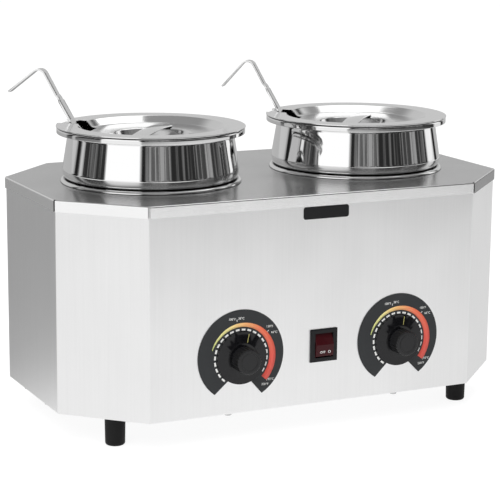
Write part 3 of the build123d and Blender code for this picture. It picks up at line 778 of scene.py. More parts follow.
class NodeBook:
    """Shader node groups that the finishes share."""

    def __init__(self) -> None:
        """Make the groups."""
        self.grain = self._grain()
        self.wear = self._wear()

    @staticmethod
    def _new(name: str, inputs: dict[str, str], outputs: dict[str, str]) -> Graph:
        """Make an empty group with its sockets.

        Args:
            name: Name of the group.
            inputs: Name and type of each input.
            outputs: Name and type of each output.

        Returns:
            The group's nodes.
        """
        group = bpy.data.node_groups.new(name, "ShaderNodeTree")
        for way, sockets in (("INPUT", inputs), ("OUTPUT", outputs)):
            for label, kind in sockets.items():
                group.interface.new_socket(label, in_out=way, socket_type=f"NodeSocket{kind}")
        return Graph(group)

    def _grain(self) -> bpy.types.NodeTree:
        """Fine parallel scratches: a tone and a bumped normal from stretched noise.

        Returns:
            The group.
        """
        graph = self._new(
            "brushed_grain",
            {"Vector": "Vector", "Depth": "Float"},
            {"Tone": "Float", "Normal": "Vector"},
        )
        into = graph.add("NodeGroupInput").outputs
        look = {"Vector": into["Vector"], "Scale": 1.0, "Detail": 5.0, "Roughness": 0.65}
        tone = graph.add("TexNoise", look).outputs["Fac"]
        bump = graph.add("Bump", {"Distance": 0.0002, "Strength": into["Depth"], "Height": tone})
        graph.add("NodeGroupOutput", {"Tone": tone, "Normal": bump.outputs["Normal"]})
        return graph.tree

    def _wear(self) -> bpy.types.NodeTree:
        """Soft uneven patches, as of wiped metal or handled plastic.

        Returns:
            The group.
        """
        graph = self._new(
            "soft_wear", {"Scale": "Float", "Low": "Float", "High": "Float"}, {"Value": "Float"}
        )
        into = graph.add("NodeGroupInput").outputs
        place = graph.add("TexCoord").outputs["Object"]
        cloud = graph.add("TexNoise", {"Vector": place, "Scale": into["Scale"], "Detail": 3.0})
        value = graph.spread(cloud.outputs["Fac"], (0.3, into["Low"]), (0.7, into["High"]))
        graph.add("NodeGroupOutput", {"Value": value})
        return graph.tree

    def worn(self, graph: Graph, scale: float, low: float, high: float) -> Socket:
        """Roughness that wanders between two values.

        Args:
            graph: The material's nodes.
            scale: Fineness of the patches.
            low: Least roughness.
            high: Greatest roughness.

        Returns:
            The roughness's socket.
        """
        inputs = {"Scale": scale, "Low": low, "High": high}
        return graph.add("Group", inputs, node_tree=self.wear).outputs["Value"]


def new_material(name: str, colour: Colour) -> tuple[bpy.types.Material, Graph, bpy.types.Node]:
    """Make a plain material.

    Args:
        name: Name of the material.
        colour: Its base colour.

    Returns:
        The material, its nodes and its Principled shader.
    """
    material = bpy.data.materials.new(name)
    material.use_nodes = True
    graph = Graph(material.node_tree)
    shader = graph.add("BsdfPrincipled", {"Base Color": (*colour, 1)})
    graph.add("OutputMaterial", {"Surface": shader.outputs["BSDF"]})
    return material, graph, shader


@dataclass(frozen=True)
class SteelFinish:
    """Stainless steel, plain or brushed.

    Painted light: the upright and bent faces of a sheet can take a side colour of their own, and
    the right cut corner's a darker one as painted shade. Painted shade: gaps up to a given width,
    in metres, are darkened.
    """

    name: str
    colour: Colour
    roughness: float
    spread: float = 0.03
    grain: Grain | None = None
    stretch: float = 0.0
    depth: float = 0.0
    fineness: float = 900.0
    side_light_colour: Colour | None = None
    gap_shade_width: float = 0.0
    patches: float = 22.0
    grain_run: float = 60.0
    contrast: float = 0.04
    flat_limit: float = 0.96
    corner_limit: float = 0.9
    corner_shade_share: float = 0.2
    gap_shade_share: float = 0.12
    gap_shade_open: Point = (0.3, 0.75)

    def build(self, book: NodeBook) -> bpy.types.Material:
        """Make the material.

        Args:
            book: The shared node groups.

        Returns:
            The material.
        """
        material, graph, shader = new_material(self.name, self.colour)
        low, high = self.roughness - self.spread, self.roughness + self.spread
        graph.feed(shader, "Metallic", 1.0)
        graph.feed(shader, "Roughness", book.worn(graph, self.patches, low, high))
        base = (*self.colour, 1)
        if self.grain is not None:
            base = self._brush(book, graph, shader)
        # Painted shade: darken narrow gaps by ambient occlusion.
        if self.gap_shade_width > 0:
            base = self._paint_gap_shade(graph, base)
        graph.feed(shader, "Base Color", base)
        return material

    def _shade(self, share: float) -> tuple[float, ...]:
        """Base colour made darker or lighter."""
        return (*(min(1.0, share * c) for c in self.colour), 1)

    def _paint_gap_shade(self, graph: Graph, base: Feed) -> Socket:
        """Painted shade: darken the steel in narrow gaps, where no light of the room gets in.

        Args:
            graph: The material's nodes.
            base: The base colour.

        Returns:
            The darkened colour.
        """
        gap = graph.add("AmbientOcclusion", {"Distance": self.gap_shade_width}, samples=8)
        low, high = self.gap_shade_open
        share = graph.spread(gap.outputs["AO"], (low, 0.0), (high, 1.0))
        return graph.pick(share, self._shade(self.gap_shade_share), base)

    def _brush(self, book: NodeBook, graph: Graph, shader: bpy.types.Node) -> Socket:
        """Add the grain and stretch the reflections across it.

        Args:
            book: The shared node groups.
            graph: The material's nodes.
            shader: The material's shader.

        Returns:
            The base colour.
        """
        factors = [self.fineness] * 3
        factors[self.grain.value] = self.fineness / self.grain_run
        place = graph.add("TexCoord").outputs["Object"]
        scaled = graph.add("VectorMath", {0: place, 1: factors}, operation="MULTIPLY")
        inputs = {"Vector": scaled.outputs["Vector"], "Depth": self.depth}
        grain = graph.add("Group", inputs, node_tree=book.grain).outputs
        graph.feed(shader, "Normal", grain["Normal"])
        graph.feed(shader, "Anisotropic", self.stretch)
        across = "Y" if self.grain is Grain.ALONG_X else "X"
        graph.feed(shader, "Tangent", graph.add("CombineXYZ", {across: 1.0}).outputs["Vector"])
        ends = self._shade(1 - self.contrast), self._shade(1 + self.contrast)
        base = graph.pick(grain["Tone"], *ends)
        # Painted light on the upright faces, painted shade on the right cut corner.
        return base if self.side_light_colour is None else self._paint_side_light(graph, base)

    def _paint_side_light(self, graph: Graph, base: Feed) -> Socket:
        """Paint light on the upright and bent faces with a tone of their own, and paint shade on
        the right cut corner's.

        Args:
            graph: The material's nodes.
            base: The base colour.

        Returns:
            The colour by the way that a face looks.
        """
        normal = graph.add("NewGeometry").outputs["True Normal"]
        height = graph.add("SeparateXYZ", {"Vector": normal}).outputs["Z"]
        half = math.sqrt(0.5)
        ends = {0: normal, 1: (half, -half, 0.0)}
        facing = graph.add("VectorMath", ends, operation="DOT_PRODUCT").outputs["Value"]
        corner = graph.maths("GREATER_THAN", facing, self.corner_limit)
        dark = (*(self.corner_shade_share * c for c in self.side_light_colour), 1)
        upright = graph.pick(corner, (*self.side_light_colour, 1), dark)
        return graph.pick(graph.maths("GREATER_THAN", height, self.flat_limit), upright, base)


@dataclass(frozen=True)
class PaintedFinish:
    """Plastic, rubber, paint or print."""

    name: str
    colour: Colour
    roughness: float
    level: float = 0.5
    coat: float = 0.0
    coat_roughness: float = 0.04
    patches: float = 60.0
    spread: float = 0.1

    def build(self, book: NodeBook) -> bpy.types.Material:
        """Make the material.

        Args:
            book: The shared node groups.

        Returns:
            The material.
        """
        material, graph, shader = new_material(self.name, self.colour)
        low, high = self.roughness * (1 - self.spread), self.roughness * (1 + self.spread)
        graph.feed(shader, "Specular IOR Level", self.level)
        graph.feed(shader, "Coat Weight", self.coat)
        graph.feed(shader, "Coat Roughness", self.coat_roughness)
        graph.feed(shader, "Roughness", book.worn(graph, self.patches, low, high))
        return material


@dataclass(frozen=True)
class HeatBandFinish:
    """Printed band whose colour runs from pale green-yellow over orange to red."""

    name: str = "heat_band"
    roughness: float = 0.45
    stops: tuple[tuple[float, Colour], ...] = (
        (0.0, (0.55, 0.62, 0.22)),
        (0.22, (0.80, 0.72, 0.30)),
        (0.36, (0.84, 0.46, 0.18)),
        (0.54, (0.82, 0.18, 0.09)),
        (0.8, (0.72, 0.09, 0.065)),
        (1.0, (0.70, 0.085, 0.06)),
    )

    def build(self, book: NodeBook) -> bpy.types.Material:
        """Make the material.

        Args:
            book: The shared node groups, of which it uses none.

        Returns:
            The material.
        """
        material, graph, shader = new_material(self.name, self.stops[0][1])
        along = graph.add("UVMap", uv_map="along").outputs["UV"]
        run = graph.add("SeparateXYZ", {"Vector": along}).outputs["X"]
        graph.feed(shader, "Roughness", self.roughness)
        graph.feed(shader, "Base Color", graph.ramp(run, self.stops))
        return material


class Finishes:
    """Every material of the warmer, made once."""

    MADE = (
        # Painted shade: the deck's base colour is darker than the walls' same steel, as the deck
        # mirrors the dim room; its upright faces take painted light.
        SteelFinish(
            "deck_steel", (0.60, 0.60, 0.60), 0.24, 0.02, Grain.ALONG_X, 0.6, 0.02,
            side_light_colour=(0.97, 0.97, 0.97), gap_shade_width=0.004,
        ),
        SteelFinish(
            "wall_steel", (0.90, 0.90, 0.90), 0.34, 0.02, Grain.ALONG_Z, 0.5, 0.04, 500.0
        ),
        SteelFinish("mirror_steel", (0.86, 0.86, 0.86), 0.045, 0.01, gap_shade_width=0.007),
        SteelFinish("lid_steel", (0.84, 0.84, 0.84), 0.13, 0.015, gap_shade_width=0.007),
        SteelFinish("bright_steel", (0.80, 0.80, 0.80), 0.13, 0.02),
        SteelFinish("plain_sheet", (0.55, 0.55, 0.56), 0.38, 0.04),
        SteelFinish("plain_screws", (0.60, 0.60, 0.60), 0.25),
        SteelFinish("brass_blades", (0.75, 0.60, 0.30), 0.28),
        SteelFinish("copper_bulb", (0.72, 0.45, 0.30), 0.26),
        SteelFinish("dark_element", (0.12, 0.11, 0.10), 0.5, 0.05),
        PaintedFinish("black_plastic", (0.008, 0.008, 0.009), 0.32, 0.25),
        PaintedFinish("knob_black", (0.005, 0.005, 0.006), 0.10, 0.32, 0.1),
        PaintedFinish("grip_black", (0.012, 0.012, 0.013), 0.30, 0.35),
        PaintedFinish("red_rocker", (0.04, 0.005, 0.007), 0.1, 0.2),
        PaintedFinish("white_plastic", (0.80, 0.80, 0.78), 0.5),
        PaintedFinish("dial_plate", (0.030, 0.032, 0.034), 0.55, 0.3),
        PaintedFinish("white_print", (0.86, 0.86, 0.84), 0.5),
        PaintedFinish("olive_print", (0.36, 0.33, 0.10), 0.5),
        PaintedFinish("black_rubber", (0.008, 0.008, 0.008), 0.6, 0.2),
        HeatBandFinish(),
    )

    def __init__(self) -> None:
        """Build the materials."""
        book = NodeBook()
        self._by_name = {finish.name: finish.build(book) for finish in self.MADE}
        LOG.info("%d finishes", len(self._by_name))

    def __getitem__(self, name: str) -> bpy.types.Material:
        """The material with a name."""
        return self._by_name[name]

    def settle(
        self, obj: bpy.types.Object, finish: str, body: str, slot: str, *nodes: str
    ) -> None:
        """Dress a new piece and tie it to the frame.

        Args:
            obj: The piece.
            finish: Name of its material.
            body: The body that it moves with.
            slot: The record's material slot; not used.
            nodes: Nodes of the frame that it stands for.
        """
        obj.data.materials.clear()
        obj.data.materials.append(self[finish])
        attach(obj, body)
        if nodes:
            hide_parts(*nodes)
        LOG.info("piece %s rides on %s", obj.name, body)


class OneSide:
    """Pieces of one side of the warmer."""

    def __init__(self, side: Side, finishes: Finishes) -> None:
        """Keep the side and the finishes.

        Args:
            side: Which side to build.
            finishes: The materials.
        """
        self.side, self.finishes = side, finishes
        self.well, self.ladle, self.dial = WELLS[side], LADLES[side], DIALS[side]

    def name(self, stem: str) -> str:
        """Name with the side behind it.

        Args:
            stem: What the name starts with.

        Returns:
            The name.
        """
        return f"{stem}_{self.side.value}"


class Vessels(OneSide):
    """Well, pot, lid and ladle of one side."""

    def build(self) -> None:
        """Build the pieces of this side."""
        self._well()
        self._pot()
        self._lid()
        self._lid_strap()
        self._ladle_handle()
        self._ladle_bowl()

    def _well(self) -> None:
        """Deep well whose edge is rolled over the deck."""
        size = self.well
        outer = size.bore + size.sheet
        line = rounded([(0, -size.depth), (outer, -size.depth), (outer, 0)], [size.floor_bend])
        line += arc((size.bore + size.bead, 0), size.bead - size.sheet, 180, -180, 16)[1:]
        shape = Shape()
        shape.spin(supported(line), Sheet.LEFT)
        obj = shape.piece(self.name("rolled_well"), well_place(self.side))
        thicken(obj, size.sheet)
        self.finishes.settle(obj, "lid_steel", "casing", "bright_steel", self.name("well"))

    def _pot(self) -> None:
        """Pot with a belly on the bead, a cone and a rolled rim."""
        size = POT
        shoulder = size.shoulder(self.well)
        belly_z = shoulder[1]
        join_r = size.wall_radius + size.join_bend
        reach = size.shoulder_bend + size.join_bend
        join_z = belly_z - math.sqrt(reach**2 - (join_r - shoulder[0]) ** 2)
        join_end = math.degrees(math.atan2(belly_z - join_z, shoulder[0] - join_r))
        crown = (size.belly_radius - size.crown_bend, belly_z)
        neck_r = size.neck_radius(self.well)
        under = size.rim_rise - size.sheet
        lip = size.rim_radius - size.sheet
        line = rounded(
            [(0, -size.floor_drop), (size.foot_radius, -size.floor_drop),
             (size.wall_radius, join_z)],
            [size.floor_bend],
        )
        line += arc((join_r, join_z), size.join_bend, 180, join_end - 180, 6)[1:]
        line += arc(shoulder, size.shoulder_bend, join_end - 180, 180 - join_end, 14)[1:]
        line += arc(crown, size.crown_bend, 0, size.cone_lean, 6)[1:]
        line += rounded(
            [size.cone_foot(self.well), (neck_r, size.neck_rise), (neck_r, under), (lip, under),
             (lip, size.rim_rise - size.lip_drop)],
            [size.neck_bend, size.rim_bend, size.lip_bend],
        )[1:]
        shape = Shape()
        shape.spin(supported(line), Sheet.LEFT)
        obj = shape.piece(self.name("turned_pot"), well_place(self.side))
        thicken(obj, size.sheet)
        ease_edges(obj, 0.25)
        body = self.name("pot_body")
        self.finishes.settle(obj, "mirror_steel", body, "mirror_steel", self.name("pot"))

    def _lid(self) -> None:
        """Lid with a wide flange, a sunk middle, a finger well and the ladle's notch."""
        size = LID
        line = rounded(
            [(0, -size.well_drop), (size.well_floor, -size.well_drop),
             (size.well, -size.well_edge_drop), (size.floor, -size.floor_drop),
             (size.flange_inner, 0), (size.flange, 0)],
            [size.well_bend, size.bend, size.bend, size.bend],
        )
        shape = Shape()
        shape.spin(supported(line), Sheet.RIGHT)
        half, corner, reach = size.notch_width / 2, size.notch_corner, size.notch_reach
        outline = [(size.flange + 1, half)]
        outline += arc((reach + corner, half - corner), corner, 90, 90, 4)
        outline += arc((reach + corner, corner - half), corner, 180, 90, 4)
        outline.append((size.flange + 1, -half))
        shape.notch(outline, size.notch_near)
        place = well_place(self.side, size.top_rise, size.notch_turn)
        obj = shape.piece(self.name("turned_lid"), place)
        thicken(obj, size.sheet)
        ease_edges(obj, 0.22)
        body = self.name("lid_body")
        self.finishes.settle(obj, "lid_steel", body, "bright_steel", self.name("lid"))

    def _lid_strap(self) -> None:
        """Low arched strap over the lid's finger well."""
        size = LID
        half = size.strap_span / 2
        slope = (size.well_edge_drop - size.floor_drop) / (size.floor - size.well)
        foot = -size.well_edge_drop + (half - size.well) * slope + size.strap_gap
        radius = (half**2 + size.strap_rise**2) / (2 * size.strap_rise)
        reach = math.degrees(math.asin(half / radius))
        line = arc((0, foot + size.strap_rise - radius), radius, 90 + reach, -2 * reach, 24)
        shape = Shape()
        shape.strip(line, [size.strap_width] * len(line))
        if sum(f.normal.z for f in shape.bm.faces) > 0:
            shape.flip()
        place = well_place(self.side, size.top_rise, size.strap_turn)
        obj = shape.piece(self.name("lid_strap"), place)
        thicken(obj, size.strap_sheet)
        ease_edges(obj, 0.3, 60.0)
        body = self.name("lid_body")
        self.finishes.settle(obj, "lid_steel", body, "bright_steel", self.name("lid_handle"))

    def _rest(self) -> Point:
        """Middle of the ladle's strip where it leans on the pot's inner rim bend.

        Returns:
            Its distance from the well's axis and its height.
        """
        size, pot = self.ladle, POT
        lean = math.radians(size.lean)
        neck_r = pot.neck_radius(self.well)
        sag = neck_r - math.sqrt(neck_r**2 - (size.shank / 2) ** 2)
        away = pot.rim_bend + pot.sheet + pot.gap + sag * math.cos(lean) + size.sheet / 2
        bend_r, bend_z = neck_r + pot.rim_bend, pot.rim_rise - pot.sheet - pot.rim_bend
        return bend_r - away * math.cos(lean), bend_z + away * math.sin(lean)

    def _bowl_offset(self) -> float:
        """Distance from the middle of the strip to the bowl's axis."""
        return self.ladle.bowl + POT.gap + self.ladle.sheet / 2

    def _bowl_drop(self) -> float:
        """Distance down the strip from its rest to the level of the bowl's edge.

        Returns:
            The distance.
        """
        size, pot = self.ladle, POT
        lean = math.radians(size.lean)
        bowl_z = -pot.floor_drop + pot.sheet + pot.gap + size.bowl
        return (self._rest()[1] + self._bowl_offset() * math.sin(lean) - bowl_z) / math.cos(lean)

    def _ladle_handle(self) -> None:
        """Strip handle with rounded foot, shoulders, a joggle and a hook."""
        size, rest = self.ladle, self._rest()
        low = walk(rest, (size.lean, -(self._bowl_drop() + size.weld)))[-1]
        neck = walk(rest, (size.lean, size.neck_rise))[-1]
        kink = walk(neck, (size.neck_lean, size.kink - size.neck_rise))[-1]
        bends = walk(
            kink,
            (size.neck_lean + size.jog_turn, size.jog),
            (size.hook_lean, size.hook_rise),
            (180 - size.fall_angle, size.fall),
        )
        corner = size.foot_corner
        foot = [corner * (1 - math.cos(math.radians(a))) for a in size.foot_turns]
        shank = [walk(low, (size.lean, stop))[-1] for stop in foot]
        widths = [
            size.shank - 2 * (corner - math.sqrt(max(0.0, corner**2 - (corner - stop) ** 2)))
            for stop in foot
        ]
        shank += [neck, walk(kink, (size.neck_lean, -size.jog - size.shoulder_cut))[-1]]
        narrow = walk(kink, (size.neck_lean, -size.jog))[-1]
        path = rounded([narrow, *bends], [size.jog_bend, size.jog_bend, size.hook_bend], 8)
        widths += [size.shank] * 2 + [size.hook] * len(path)
        shape = Shape()
        shape.strip(shank + path, widths)
        place = well_place(self.side, 0, LID.notch_turn)
        obj = shape.piece(self.name("ladle_strip"), place)
        thicken(obj, size.sheet, 0.0)
        ease_edges(obj, 0.35, 60.0)
        body = self.name("ladle_body")
        self.finishes.settle(obj, "bright_steel", body, "bright_steel", self.name("ladle_handle"))

    def _ladle_bowl(self) -> None:
        """Round bowl on the foot of the strip."""
        size, offset = self.ladle, self._bowl_offset()
        line = arc((0, 0), size.bowl, -90, 90, 24) + [(size.bowl, size.collar)]
        shape = Shape()
        shape.spin(supported(line), Sheet.LEFT, 96)
        lean = math.radians(size.lean)
        along, up = walk(self._rest(), (size.lean, -self._bowl_drop()))[-1]
        centre = (along - offset * math.cos(lean), 0, up + offset * math.sin(lean))
        local = Matrix.Translation(centre) @ turned(size.lean, "Y")
        place = well_place(self.side, 0, LID.notch_turn) @ local
        obj = shape.piece(self.name("turned_bowl"), place)
        thicken(obj, size.bowl_sheet)
        ease_edges(obj, 0.25)
        body = self.name("ladle_body")
        self.finishes.settle(obj, "bright_steel", body, "bright_steel", self.name("ladle_bowl"))


class Knob(OneSide):
    """Knob of one dial: thin skirt, collar and fluted grip, with its pointer line."""

    def build(self) -> None:
        """Build the knob's pieces."""
        body = self.name("knob_body")
        self.finishes.settle(self._skirt(), "knob_black", body, "knob_black", self.name("knob"))
        self.finishes.settle(self._grip(), "grip_black", body, "knob_black")
        self.finishes.settle(self._pointer(), "olive_print", body, "knob_black")

    def _place(self) -> Matrix:
        """Place of the knob's axis on the front wall."""
        return front_place(self.dial.x, self.dial.z)

    def _skirt(self) -> bpy.types.Object:
        """Skirt and collar as one turned ring.

        Returns:
            The piece.
        """
        size = self.dial
        face = size.knob_back + size.skirt_edge
        collar_foot = face + size.collar_rise
        collar_face = collar_foot + size.collar_height
        inner, back = size.nut_recess, size.knob_back
        line = [
            (inner, collar_face), (inner, back), (size.skirt, back), (size.skirt, face),
            (size.collar, collar_foot), (size.collar, collar_face), (inner, collar_face),
        ]
        shape = Shape()
        shape.spin(supported(line, 0.3, 1.2), Sheet.LEFT, 128)
        shape.close_up()
        obj = shape.piece(self.name("knob_skirt"), self._place(), 15.0)
        ease_edges(obj, 0.35, 30.0, 3)
        return obj

    @cached_property
    def outline(self) -> list[Point]:
        """Outline of the grip with its flutes.

        Returns:
            Its corners, in order round the axis.
        """
        size = self.dial
        centre = size.grip + size.flute - size.flute_depth
        reach = math.acos((centre**2 + size.flute**2 - size.grip**2) / (2 * centre * size.flute))
        points: list[Point] = []
        for i in range(size.flutes):
            turn = math.tau * (i + 0.5) / size.flutes
            for j in range(size.flute_spans + 1):
                angle = math.pi + reach * (1 - 2 * j / size.flute_spans)
                x = centre + size.flute * math.cos(angle)
                y = size.flute * math.sin(angle)
                radius, swing = math.hypot(x, y), math.atan2(y, x)
                points.append((radius * math.cos(turn + swing), radius * math.sin(turn + swing)))
            land = math.tau * (i + 1) / size.flutes
            points.append((size.grip * math.cos(land), size.grip * math.sin(land)))
        return sorted(points, key=lambda p: math.atan2(p[1], p[0]))

    def _grip(self) -> bpy.types.Object:
        """Fluted grip with a rounded rim and a ring in its face.

        Returns:
            The piece.
        """
        size = self.dial
        low = size.knob_back + size.skirt_edge + size.collar_rise
        front = size.knob_back + size.knob_length
        bend, sunk = size.face_bend, front - size.ring_depth
        outer, inner = size.ring + size.ring_width, size.ring
        shape = Shape()
        bm = shape.bm
        cap = bm.faces.new([bm.verts.new((x, y, low)) for x, y in self.outline])
        for degrees in (0.0, 22.5, 45.0, 67.5, 90.0):
            turn = math.radians(degrees)
            share = 1 - bend * (1 - math.cos(turn)) / size.grip
            height = front - bend + bend * math.sin(turn)
            cap = self._raise(bm, cap, height, lambda r, part=share: r * part)
        for height, radius in ((front, outer), (sunk, outer), (sunk, inner), (front, inner)):
            cap = self._raise(bm, cap, height, lambda r, to=radius: to)
        shape.close_up()
        return shape.piece(self.name("knob_grip"), self._place(), 50.0, 60.0)

    def _raise(
        self, bm: bmesh.types.BMesh, cap: bmesh.types.BMFace, height: float,
        reach: Callable[[float], float],
    ) -> bmesh.types.BMFace:
        """Draw the top face up to a height.

        Args:
            bm: The mesh.
            cap: Its top face.
            height: Height of the new top face.
            reach: Gives a corner's new radius from the outline's radius there.

        Returns:
            The new top face.
        """
        made = bmesh.ops.extrude_discrete_faces(bm, faces=[cap])["faces"][0]
        for vert in made.verts:
            angle = math.atan2(vert.co.y, vert.co.x)
            radius = reach(self._radius_at(angle))
            vert.co = (radius * math.cos(angle), radius * math.sin(angle), height)
        return made

    def _radius_at(self, angle: float) -> float:
        """Radius of the outline's corner nearest to an angle.

        Args:
            angle: The angle in radians.

        Returns:
            The radius.
        """
        return math.hypot(*min(
            self.outline,
            key=lambda p: abs(math.remainder(math.atan2(p[1], p[0]) - angle, math.tau)),
        ))

    def _pointer(self) -> bpy.types.Object:
        """Thin printed line that runs up the skirt from the collar.

        Returns:
            The piece.
        """
        size = self.dial
        face = size.knob_back + size.skirt_edge + size.print_gap
        slope = size.collar_rise / (size.skirt - size.collar)
        low, high = size.collar + size.pointer_inset, size.skirt - size.pointer_stop
        half = size.pointer_width / 2
        shape = Shape()
        outline = [(-half, low), (half, low), (half, high), (-half, high)]
        shape.plate(outline, size.pointer_sheet)
        for vert in shape.bm.verts:
            vert.co.z += face + (size.skirt - vert.co.y) * slope
        shape.close_up()
        return shape.piece(self.name("knob_pointer"), self._place() @ turned(-size.pointer, "Z"))


class Dial(OneSide):
    """Print on one dial plate."""

    def build(self) -> None:
        """Build the plate and its print."""
        node = self.name("dial_plate")
        plate = smooth_copy(node, self.name("charcoal_plate"))
        ease_edges(plate, 0.15, 60.0)
        self.finishes.settle(plate, "dial_plate", "casing", "dial_print", node)
        makers = (self._dashes, self._band, self._scale)
        prints = zip(("white_print", "heat_band", "white_print"), makers)
        for finish, make in prints:
            self.finishes.settle(make(), finish, "casing", "dial_print")

    def _place(self) -> Matrix:
        """Place of the print on the plate's face.

        Returns:
            The matrix.
        """
        size = self.dial
        above = Matrix.Translation((0, 0, size.plate + size.print_gap))
        return front_place(size.x, size.z, size.turn) @ above

    def _dashes(self) -> bpy.types.Object:
        """Ring of white dashes round the knob.

        Returns:
            The piece.
        """
        size, shape = self.dial, Shape()
        for i in range(size.dash_count):
            degrees = size.dash_start + size.dash_step * i
            shape.bar(
                degrees, size.dash_radius, size.dash_length, size.dash_width, size.print_sheet
            )
        shape.close_up()
        return shape.piece(self.name("dial_dashes"), self._place())

    def _scale(self) -> bpy.types.Object:
        """Ticks and temperatures round the band.

        Returns:
            The piece.
        """
        size, shape = self.dial, Shape()
        middle = size.tick_radius + size.tick_length / 2
        for degrees in DIAL_TICKS:
            shape.bar(degrees, middle, size.tick_width, size.tick_length, size.print_sheet)
        shape.close_up()
        for words, x, y in DIAL_WORDS:
            shape.words(words, size.letter, size.print_sheet, (x, y, 0))
        return shape.piece(self.name("dial_scale"), self._place())

    def _band(self) -> bpy.types.Object:
        """Heat band that widens clockwise, with its run stored as a UV map.

        Returns:
            The piece.
        """
        size, shape = self.dial, Shape()
        bm, widths, steps = shape.bm, size.band_widths, size.band_steps
        columns = []
        for i in range(steps + 1):
            part = i / steps
            angle = math.radians(size.band_start + (size.band_end - size.band_start) * part)
            spot = part * (len(widths) - 1)
            low = min(int(spot), len(widths) - 2)
            width = widths[low] + (widths[low + 1] - widths[low]) * (spot - low)
            inner = size.band_inner + size.band_tip * max(0.0, 1 - part / size.band_tip_part)
            columns.append([
                bm.verts.new((math.sin(angle) * r, math.cos(angle) * r, 0))
                for r in (inner, inner + width)
            ])
        run = bm.loops.layers.uv.new("along")
        for i, (a, b) in enumerate(zip(columns, columns[1:])):
            face = bm.faces.new([a[0], b[0], b[1], a[1]])
            for loop in face.loops:
                column = i if loop.vert in a else i + 1
                loop[run].uv = (column / steps, 0.5)
        bm.normal_update()
        if bm.faces[:][0].normal.z < 0:
            shape.flip()
        obj = shape.piece(self.name("dial_band"), self._place())
        thicken(obj, size.print_sheet, 1.0)
        return obj


class Casing:
    """Casing, controls and trim around the vessels."""

    COPIES = {
        "deck_top": ("deck_sheet", "deck_steel", "brushed_casing"),
        "body_shell": ("wall_sheet", "wall_steel", "brushed_casing"),
        "back_panel": ("service_panel", "wall_steel", "brushed_casing"),
        "switch_housing": ("switch_frame", "black_plastic", "black_plastic"),
        "cord_bushing": ("lead_bushing", "black_plastic", "black_plastic"),
    }
    FEET = ("front_left", "front_right", "back_left", "back_right")
    DRESSED = {
        "plain_sheet": ("bottom_plate", "bulb_clips"),
        "plain_screws": (
            "bottom_plate_screws", "back_panel_screws", "terminal_block_screws", "foot_screws",
            "foot_nuts", "clamp_studs", "clamp_nuts", "thermostat_nuts",
        ),
        "white_plastic": ("terminal_block",),
        "brass_blades": ("switch_blades",),
    }
    DRESSED_SIDES = {
        "plain_sheet": ("element_clamp", "thermostat"),
        "plain_screws": ("thermostat_shaft",),
        "dark_element": ("heating_element",),
        "copper_bulb": ("thermostat_bulb",),
    }

    def __init__(self, finishes: Finishes) -> None:
        """Keep the finishes.

        Args:
            finishes: The materials.
        """
        self.finishes = finishes

    def build(self) -> None:
        """Build and dress the casing's pieces."""
        for node, (name, finish, slot) in self.COPIES.items():
            self.finishes.settle(smooth_copy(node, name), finish, "casing", slot, node)
        rocker = smooth_copy("switch_rocker", "red_rocker")
        ease_edges(rocker, 0.3, 12.0)
        self.finishes.settle(rocker, "red_rocker", "rocker", "red_rocker", "switch_rocker")
        self.finishes.settle(self._rocker_words(), "white_print", "rocker", "red_rocker")
        for spot in self.FEET:
            foot = smooth_copy(f"foot_{spot}", f"rubber_foot_{spot}")
            self.finishes.settle(foot, "black_rubber", "casing", "black_rubber", f"foot_{spot}")
        for finish, nodes in self.DRESSED.items():
            for node in nodes:
                self._dress(node, finish)
        for finish, stems in self.DRESSED_SIDES.items():
            for stem in stems:
                for side in Side:
                    self._dress(f"{stem}_{side.value}", finish)
        self._label()

    def _dress(self, node: str, finish: str) -> None:
        """Give a node of the frame its material on the object's own slots.

        Args:
            node: The node.
            finish: Name of the material.
        """
        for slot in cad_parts[node].material_slots:
            slot.link = "OBJECT"
            slot.material = self.finishes[finish]

    def _rocker_words(self) -> bpy.types.Object:
        """Off position's print on the rocker's lower facet.

        Returns:
            The piece.
        """
        size, facet = CASING, CASING.rocker_facet
        out = size.rocker_ridge - size.words_drop * math.tan(math.radians(facet))
        place = front_place(size.switch_x, size.switch_z)
        place = place @ Matrix.Translation((0, 0, size.rocker_pivot))
        place = place @ turned(-size.rocker_tilt, "X")
        place = place @ Matrix.Translation((0, -size.words_drop, out)) @ turned(facet, "X")
        shape = Shape()
        for words, height, x in ROCKER_WORDS:
            shape.words(words, height, size.words_sheet, (x, 0, 0))
        return shape.piece("rocker_words", place)

    def _label(self) -> None:
        """Bare black plate with rounded corners on the front, under the deck."""
        size = CASING
        corner = size.label_corner
        half_x, half_y = size.label_width / 2 - corner, size.label_height / 2 - corner
        outline: list[Point] = []
        for i, (x, y) in enumerate(((1, 1), (-1, 1), (-1, -1), (1, -1))):
            outline += arc((x * half_x, y * half_y), corner, 90 * i, 90, 6)
        shape = Shape()
        shape.plate(outline, size.label_sheet)
        shape.close_up()
        obj = shape.piece("bare_label", front_place(size.label_x, size.label_z))
        ease_edges(obj, 0.1, 60.0)
        self.finishes.settle(obj, "black_plastic", "casing", "black_plastic")


@dataclass(frozen=True)
class Lamp:
    """Soft square lamp: place, target and edge in metres, power in watts."""

    name: str
    place: Spot
    target: Spot
    edge: float
    power: float
    mirrored: bool = False

    def build(self) -> None:
        """Hang the lamp; a mirrored one shows in reflections and not to the camera."""
        data = bpy.data.lights.new(self.name, "AREA")
        data.shape, data.size, data.energy = "SQUARE", self.edge, self.power
        obj = bpy.data.objects.new(self.name, data)
        obj.location = self.place
        way = Vector(self.target) - Vector(self.place)
        obj.rotation_mode = "QUATERNION"
        obj.rotation_quaternion = way.to_track_quat("-Z", "Y")
        obj.visible_glossy, obj.visible_camera = self.mirrored, not self.mirrored
        bpy.context.scene.collection.objects.link(obj)


